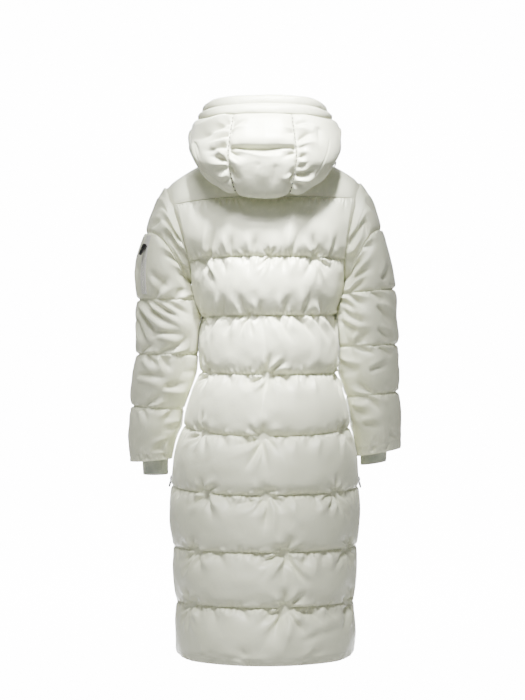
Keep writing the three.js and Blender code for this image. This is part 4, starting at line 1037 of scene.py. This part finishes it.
hoodWide, hoodLong = 330, 68  # millimetres for one place and one line
hoodLook = {
    "loft": 12, "slimmer": 0.65,  # and how much of it the underside loses, beside the neck
    "seamRound": 0.09, "lineRound": 0.35,  # how far from a seam or line the loft is full
    "outer": -3, "inner": -8.5,  # the two skins, off the hood's own surface
    "lumps": {"deep": 1.2, "sizes": (40, 18), "starts": (500, 500)},
    "foldHigh": 5.5, "foldDeep": 2.5,  # the crosswise fold's lip and its groove
    "seamWide": 1.8, "seamDeep": 1.2,
    "gathers": {"gap": 24, "long": 16, "wide": 3.2, "deep": 1.3, "above": 0.9},
    "creases": [  # from place, line, to place, line, width, depth
        (0.175, 3.67, 0.34, 3.42, 6, 6.4), (0.175, 3.38, 0.34, 3.16, 6, 6.0),
        (0.175, 2.95, 0.30, 3.04, 5.5, 6.0), (0.175, 4.00, 0.50, 3.40, 11, 7.0),
        (0.175, 3.78, 0.27, 3.74, 4, 3.6), (0.175, 2.78, 0.28, 2.58, 5, 3.8),
        (0.175, 2.55, 0.25, 2.36, 4, 3.0), (0.44, 3.35, 0.36, 2.9, 7, 2.6),
        (0.6, 3.8, 0.52, 3.2, 10, 3.0), (-0.145, 3.46, -0.27, 3.68, 6, 6.4),
        (-0.145, 3.28, -0.22, 3.34, 4, 3.0), (-0.145, 3.06, -0.20, 3.12, 4, 4.0),
        (-0.145, 2.62, -0.28, 2.74, 5, 6.6), (-0.145, 2.80, -0.21, 2.94, 4, 3.6),
        (-0.145, 3.90, -0.26, 3.92, 5, 3.4), (-0.145, 2.40, -0.21, 2.32, 4, 3.2),
        (-0.30, 3.8, -0.26, 3.3, 8, 2.8), (-0.6, 3.7, -0.56, 3.1, 10, 3.0),
        (0.17, 3.24, 0.085, 3.06, 4.5, 5.0), (0.17, 3.14, 0.12, 2.92, 4, 3.8),
        (0.17, 2.80, 0.12, 2.52, 4, 4.6), (0.17, 2.70, 0.15, 2.42, 3.6, 3.4),
        (0.17, 3.84, 0.09, 3.98, 4, 3.6), (-0.14, 3.18, -0.07, 3.04, 4, 3.6),
        (-0.14, 2.62, -0.12, 2.44, 3.6, 4.2), (-0.14, 3.70, -0.08, 3.62, 4, 2.8),
        (0.03, 2.95, 0.05, 2.2, 15, 1.4), (-0.05, 2.9, -0.04, 2.2, 14, 1.2),
        (0.12, 3.31, -0.10, 3.31, 3.6, 3.4),
    ],
    "knots": [  # on the centre panel's side seams: place, line, size
        (0.175, 3.67, 9), (0.175, 3.38, 10), (0.175, 2.80, 12), (-0.145, 3.62, 8), (-0.145, 3.28, 10),
        (-0.145, 2.66, 12),
    ],
    "sideSeams": [  # flat seams on the side panels: place, line along each
        [(0.46, 3.40), (0.40, 2.95), (0.34, 2.53), (0.19, 2.27)],
        [(-0.365, 3.45), (-0.32, 3.0), (-0.27, 2.53)],
    ],
    "eyelet": {"place": -0.49, "line": 2.42, "lift": 5.6, "radius": 4.0, "wire": 1.4},
}


# a flat seam: a narrow valley along a polyline
def seamValley(u, v, points, width, depth):
    near = np.full_like(u, 1e6)
    for (u0, v0), (u1, v1) in zip(points, points[1:]):
        run = (u1 - u0) ** 2 + (v1 - v0) ** 2
        t = np.clip(((u - u0) * (u1 - u0) + (v - v0) * (v1 - v0)) / run, 0, 1)
        near = np.minimum(near, np.hypot(u - u0 - t * (u1 - u0), v - v0 - t * (v1 - v0)))
    return -depth * np.exp(-(near / width) ** 2)


def onHood(*placesAndLines):
    return [n * (hoodLong if i % 2 else hoodWide) for i, n in enumerate(placesAndLines)]


def hoodPiece(name, places, lines, grid, seams, quilting, seed):
    def outside(a, b):
        place, line = lerp(*places, a), lerp(*lines, b)
        u, v = onHood(place, line)
        toSeam = np.min([np.abs(place - seam) / hoodLook["seamRound"] for seam in seams], axis=0)
        toLine = np.min([np.abs(line - seam) / hoodLook["lineRound"] for seam in quilting], axis=0)
        far = np.abs(place)
        low = smooth(far, 0.2, 0.32) * (1 - smooth(far, 0.55, 0.72)) * (1 - smooth(line, 2.2, 2.9))
        full = hoodLook["loft"] * (1 - hoodLook["slimmer"] * low) * roundness(toSeam) * roundness(toLine)
        relief = filling(u, v, hoodLook["lumps"], seed)
        for *ends, width, depth in hoodLook["creases"]:
            relief += fold(u, v, (*onHood(*ends), width, depth))
        for *knot, size in hoodLook["knots"]:
            ku, kv = onHood(*knot)
            relief -= 0.45 * size * np.exp(-(np.hypot(u - ku, v - kv) / (0.7 * size)) ** 2)
        for way in hoodLook["sideSeams"]:
            points = [onHood(*at) for at in way]
            relief += seamValley(u, v, points, hoodLook["seamWide"], hoodLook["seamDeep"])
        if hoodFold in quilting:
            above = (line - hoodFold) * hoodLong
            relief += hoodLook["foldHigh"] * smooth(above, 0, 3) * (1 - smooth(above, 8, 30))
            relief -= hoodLook["foldDeep"] * np.exp(-(above / 2.2) ** 2)
        low, high = sorted(place * hoodWide for place in places)
        for i, seam in enumerate(quilting):
            relief += gathers(u, v, seam * hoodLong, low, high, hoodLook["gathers"], seed + 5 + i)
        for i, seam in enumerate(seams):
            relief += gathers(v, u, seam * hoodWide, lines[0] * hoodLong, lines[1] * hoodLong,
                              hoodLook["gathers"], seed + 9 + i)
        edge = smooth(a, 0, 0.03) * (1 - smooth(a, 0.97, 1)) * smooth(b, 0, 0.03) * (1 - smooth(b, 0.97, 1))
        relief *= edge * smooth(full, 0, 2.2)
        out = full + hoodLook["outer"] + relief
        return hoodPoint(place, line) + hoodDirection(place, line) * out[..., None]

    def inside(a, b):
        place, line = lerp(*places, a), lerp(*lines, b)
        return hoodPoint(place, line) + hoodLook["inner"] * hoodDirection(place, line)
    return filledPanel(name, *grid, outside, inside)


below, over = (0, bandStart - bandGap), (bandStart + bandGap, hoodRim)
centre = (splitGap - hoodSplit["right"], hoodSplit["left"] - splitGap)
hoodCentre = hoodPiece("hoodCentre", centre, below, (76, 190), [-hoodSplit["right"], hoodSplit["left"]],
                       [0, hoodFold, bandStart], 91)
finishPiece(hoodCentre, "hood_centre", shell)
for side, sign in sideSign.items():
    hoodSide = hoodPiece("hoodSide" + side.capitalize(), ((hoodSplit[side] + splitGap) * sign, sign), below,
                         (170, 170), [hoodSplit[side] * sign, sign], [0, bandStart], 95 + sign)
    finishPiece(hoodSide, "hood_side_" + side, shell)
hoodBand = hoodPiece("hoodBand", (-1, 1), over, (260, 34), [-1, 1], [bandStart, bandMiddle, hoodRim], 101)
finishPiece(hoodBand, "hood_band", shell)

# zips: two tapes folded over beside the chain, with the teeth as their own piece
zipLook = {
    "lift": 0.7, "tapeHeight": 0.9, "foldHeight": 1.9, "chainHeight": 1.3,
    "toothPitch": 2.6, "toothLong": 3.2, "toothWide": 1.5, "toothHigh": 1.3, "toothRadius": 0.56,
}
frontZip = {"half": 12.3, "long": 1030, "foot": 18, "top": 4, "neckY": -101, "neckZ": -28, "collar": 62}
frontRows = np.arange(hemRow, 0.99, -0.05)
frontHeights = [float(bodyAt("mid", row)) for row in frontRows] + [
    frontZip["neckZ"], frontZip["neckZ"] + frontZip["collar"]]
frontDepths = [float(bodyAt("front", row)) for row in frontRows] + [
    frontZip["neckY"], frontZip["neckY"] - collarLook["lean"]]


def frontZipPoint(across, along, out):
    top = frontZip["neckZ"] + frontZip["collar"] - frontZip["top"]
    z = lerp(hemLook["height"] + frontZip["foot"], top, 1 - along)
    return pile(across * frontZip["half"], np.interp(z, frontHeights, frontDepths) - 0.2 - out, z)


def handZipPoint(side):
    def point(across, along, out):
        row = lerp(handPocket["from"], handPocket["to"], along)
        far = pocketSlant(row) + across * handPocket["half"] / handPocket["panel"]
        at = panelSkin((side, -1, panelStart[-1]), far, row, zipLook["lift"] + out, besideZip=True)
        at[..., 0] *= sideSign[side]
        return at
    return point


def sleeveZipPoint(across, along, out):
    row = lerp(sleevePocket["from"], sleevePocket["to"], along)
    turn = sleevePocket["turn"] + across * sleevePocket["half"] / sleevePocket["radius"]
    return sleeveSkin("left", turn, row, zipLook["lift"] + out)


# the strip's height across: flat tape at the edges, a fold over each side of the chain
def tapeHeight(across, chain):
    far = np.abs(across)
    ridge = np.exp(-((far - (chain + 0.22)) / 0.13) ** 2)
    flat = zipLook["tapeHeight"] * (0.4 + 0.6 * (1 - smooth(far, 0.9, 1)))
    return flat + (zipLook["foldHeight"] - zipLook["tapeHeight"]) * ridge


# a small round solid, its three sizes along its own axes
def addBead(bm, centre, ahead, out, sizes, radius):
    long, wide, high = sizes
    axes = Matrix((Vector(np.cross(ahead, out) * wide), Vector(ahead * long), Vector(out * high)))
    matrix = axes.transposed().to_4x4() * mm
    matrix[3][3] = 1
    matrix.translation = Vector(centre * mm)
    bmesh.ops.create_icosphere(bm, subdivisions=1, radius=radius, matrix=matrix)


# chain is where the folds begin, as a share of half the width
def zipPieces(node, name, point, length, chain, down):
    tapePiece = filledPanel(name, 36, down, lambda a, b: point(2 * a - 1, b, tapeHeight(2 * a - 1, chain)),
                            lambda a, b: point(2 * a - 1, b, 0 * a))
    finishPiece(tapePiece, node, tape)
    bm = bmesh.new()
    count = int(length / zipLook["toothPitch"])
    sizes = zipLook["toothWide"], zipLook["toothLong"], zipLook["toothHigh"]
    for way in (-1, 1):
        along = (np.arange(count) + (0.25 if way > 0 else 0.75)) / count
        zero = 0 * along
        high = zero + zipLook["chainHeight"]
        centre = point(zero + way * chain * 0.4, along, high)
        ahead = unit(point(zero, along + 0.002, high) - point(zero, along - 0.002, high))
        out = unit(point(zero, along, zero + 2) - point(zero, along, zero))
        for tooth in zip(centre, ahead, out):
            addBead(bm, *tooth, sizes, zipLook["toothRadius"])
    teeth = newObject(name + "Teeth", bm)
    sewOn(teeth, toothPlastic)


toothPlastic = enamel("toothPlastic", (0.60, 0.60, 0.54), 0.35)
zipPieces("front_zip", "frontZip", frontZipPoint, frontZip["long"], 0.24, 260)
for side in sideSign:
    zipPieces("pocket_" + side, side + "PocketZip", handZipPoint(side), 172, 0.3, 80)
zipPieces("sleeve_pocket", "sleevePocketZip", sleeveZipPoint, 112, 0.42, 60)
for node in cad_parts:
    if node.endswith("_slider") or node.endswith("_pull"):
        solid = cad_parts[node]
        solid.data.materials.clear()
        solid.data.materials.append(blackEnamel)
print("stage: zips")

# sewing: runs of stitches on the hood's seams and the hems
hoodThread = {"long": 4.4, "wide": 2.6, "gap": 9.5, "lift": 0.9}
hemThread = {"long": 3.2, "wide": 0.9, "gap": 5.0, "lift": 0.3}


def stitchRun(bm, points, facing, look):
    steps = np.linalg.norm(np.diff(points, axis=0), axis=1)
    run = np.concatenate([[0], np.cumsum(steps)])
    starts = np.arange(look["gap"] / 2, run[-1] - look["long"], look["gap"])

    def at(place, table):
        return np.stack([np.interp(place, run, table[:, i]) for i in range(3)], axis=-1)
    first, last = at(starts, points), at(starts + look["long"], points)
    out = at(starts + look["long"] / 2, facing)
    for a, b, o in zip(first, last, out):
        ahead = (b - a) / max(np.linalg.norm(b - a), 1e-6)
        addBead(bm, (a + b) / 2, ahead, o, (look["long"], look["wide"], look["wide"] * 0.7), 0.5)


def stitchPiece(name, runs, look, material):
    bm = bmesh.new()
    for points, facing in runs:
        stitchRun(bm, points, facing, look)
    sewOn(newObject(name, bm), material)


hoodRuns, hemRuns = [], []
for side, sign in sideSign.items():
    line = np.linspace(1.3, 4.22, 160)
    place = np.full_like(line, hoodSplit[side] * sign)
    out = hoodDirection(place, line)
    hoodRuns.append((hoodPoint(place, line) + hoodThread["lift"] * out, out))
    flip = np.array([sign, 1, 1])
    far = np.linspace(0.02, 0.985, 120)
    row = np.full_like(far, bodyStitchRow)
    for face, start in panelStart.items():
        panel = (side, face, start)
        out = panelDirection(panel, far, row)
        thick = seamWall + panelLoft(face, far, row, face < 0) * baffle(row, bodySag) + hemThread["lift"]
        hem = roundedHem(liningPoint(panel, far, row)) + out * thick[..., None]
        hemRuns.append((hem * flip, out * flip))
    turn = np.linspace(-0.97 * np.pi, 0.97 * np.pi, 120)
    row = np.full_like(turn, sleeveStitchRow)
    at = pressed(side, row, sleeveSkin(side, turn, row, hemThread["lift"]), 0)
    hemRuns.append((at * flip, sleeveDirection(side, turn, row) * flip))
# the hood's seam stitches are coloured near black: real stitches, with the shade of their needle holes
# painted into their colour
threadAndHoleShade = enamel("seamThreadAndShade", (0.10, 0.10, 0.088), 0.7)
paleThread = enamel("hemThread", (0.40, 0.40, 0.34), 0.6)
stitchPiece("hemStitches", hemRuns, hemThread, paleThread)
stitchPiece("hoodStitches", hoodRuns, hoodThread, threadAndHoleShade)


# the eyelet of the hood's cord: a small ring, turned on its own circle
def eyeletRing(look):
    place, line = np.array([look["place"]]), np.array([look["line"]])
    out = hoodDirection(place, line)[0]
    centre = hoodPoint(place, line)[0] + look["lift"] * out
    first = unit(np.cross(out, np.array([0, 0, 1.0])))
    second = np.cross(out, first)

    def ring(a, b):
        turn, roll = a * 2 * np.pi, b * 2 * np.pi
        reach = look["radius"] + look["wire"] * np.cos(roll)
        flat = first * (reach * np.cos(turn))[..., None] + second * (reach * np.sin(turn))[..., None]
        return centre + flat + out * (look["wire"] * np.sin(roll))[..., None]
    bm = bmesh.new()
    addGrid(bm, 40, 12, ring)
    bmesh.ops.remove_doubles(bm, verts=bm.verts, dist=1e-5)
    sewOn(newObject("hoodEyelet", bm), enamel("paleMetal", (0.42, 0.42, 0.38), 0.3))


eyeletRing(hoodLook["eyelet"])
print("stage: sewing and eyelet")

# camera, floor and light
cameraLook = {"place": (0.00525, 3.6, -0.3885), "sensor": 24, "pixels": 700, "focalPixels": 1714.3}
camera = bpy.data.objects.new("camera", bpy.data.cameras.new("camera"))
camera.data.sensor_fit = "VERTICAL"
camera.data.sensor_height = cameraLook["sensor"]
camera.data.lens = cameraLook["sensor"] * cameraLook["focalPixels"] / cameraLook["pixels"]
camera.location = cameraLook["place"]
camera.rotation_euler = (math.pi / 2, 0, math.pi)
bpy.context.scene.collection.objects.link(camera)
bpy.context.scene.camera = camera

# a seamless sweep: a floor under the coat that bends up into a wall well in front of it, lit to white there
studioLook = {
    "floor": -1.47, "bend": 2.4, "wall": -6.5, "back": 5, "rise": 1.4,
    "halfAt": [-6.5, -1.7, -0.9], "half": [1.8, 1.0, 2.2],  # half its width, by y
    "grey": (0.6, 0.6, 0.6, 1), "glowFrom": -0.6, "glowTo": -1.6, "dim": 0.12, "bright": 14,
}


def sweepMaterial(look):
    material, nodes, links, shader = nodesOf("paleSweep")
    shader.inputs["Base Color"].default_value = look["grey"]
    shader.inputs["Roughness"].default_value = 0.9
    shader.inputs["Emission Color"].default_value = (1, 1, 1, 1)
    split = nodes.new("ShaderNodeSeparateXYZ")
    links.new(nodes.new("ShaderNodeTexCoord").outputs["Object"], split.inputs["Vector"])
    glow = nodes.new("ShaderNodeMapRange")
    glow.inputs["From Min"].default_value = look["glowFrom"]
    glow.inputs["From Max"].default_value = look["glowTo"]
    glow.inputs["To Min"].default_value = look["dim"]
    glow.inputs["To Max"].default_value = look["bright"]
    links.new(split.outputs["Y"], glow.inputs["Value"])
    links.new(glow.outputs["Result"], shader.inputs["Emission Strength"])
    return material


def sweepPiece(look):
    bm = bmesh.new()
    bend = look["bend"]
    flat = look["back"] - (look["wall"] + bend)
    arc = math.pi / 2 * bend
    for vert in bmesh.ops.create_grid(bm, x_segments=8, y_segments=80, size=1)["verts"]:
        way = (1 - vert.co.y) / 2 * (flat + arc + look["rise"])
        turn = min(max((way - flat) / bend, 0), math.pi / 2)
        y = look["back"] - min(way, flat) - bend * math.sin(turn)
        z = look["floor"] + bend * (1 - math.cos(turn)) + max(way - flat - arc, 0)
        vert.co = (vert.co.x * float(np.interp(y, look["halfAt"], look["half"])), y, z)
    sweep = newObject("sweep", bm)
    sweep.data.materials.append(sweepMaterial(look))


def addLight(name, kind, place, target, power):
    light = bpy.data.objects.new(name, bpy.data.lights.new(name, kind))
    light.data.energy = power
    light.location = place
    light.rotation_euler = (Vector(target) - Vector(place)).to_track_quat("-Z", "Y").to_euler()
    bpy.context.scene.collection.objects.link(light)
    return light.data


def softbox(name, place, target, size, power, spread=180):
    lamp = addLight(name, "AREA", place, target, power)
    lamp.shape = "RECTANGLE"
    lamp.size, lamp.size_y = size
    lamp.spread = math.radians(spread)


sweepPiece(studioLook)
softbox("keyLight", (0.45, 2.7, 3.1), (0, 0.1, -0.7), (1.1, 0.8), 150)
softbox("fillLight", (1.8, 3.0, 0.2), (0, 0, -0.6), (1.4, 2.2), 5)
softbox("frontLight", (0.3, -3.0, 1.6), (0, 0, -0.5), (2.4, 2.0), 40)
softbox("stripLight", (0.05, 1.7, 1.6), (0, 0.1, -0.75), (0.1, 1.1), 0.8, spread=8)
spot = addLight("spotLight", "SPOT", (-0.05, 0.6, 0.93), (0, 0.12, -0.1), 1800)
spot.spot_size = math.radians(13)
spot.spot_blend = 1
spot.shadow_soft_size = 0.15
world = bpy.data.worlds.new("studio")
bpy.context.scene.world = world
world.use_nodes = True
background = world.node_tree.nodes["Background"]
background.inputs["Color"].default_value = (1, 1, 1, 1)
background.inputs["Strength"].default_value = 0.24
print("stage: camera and light")
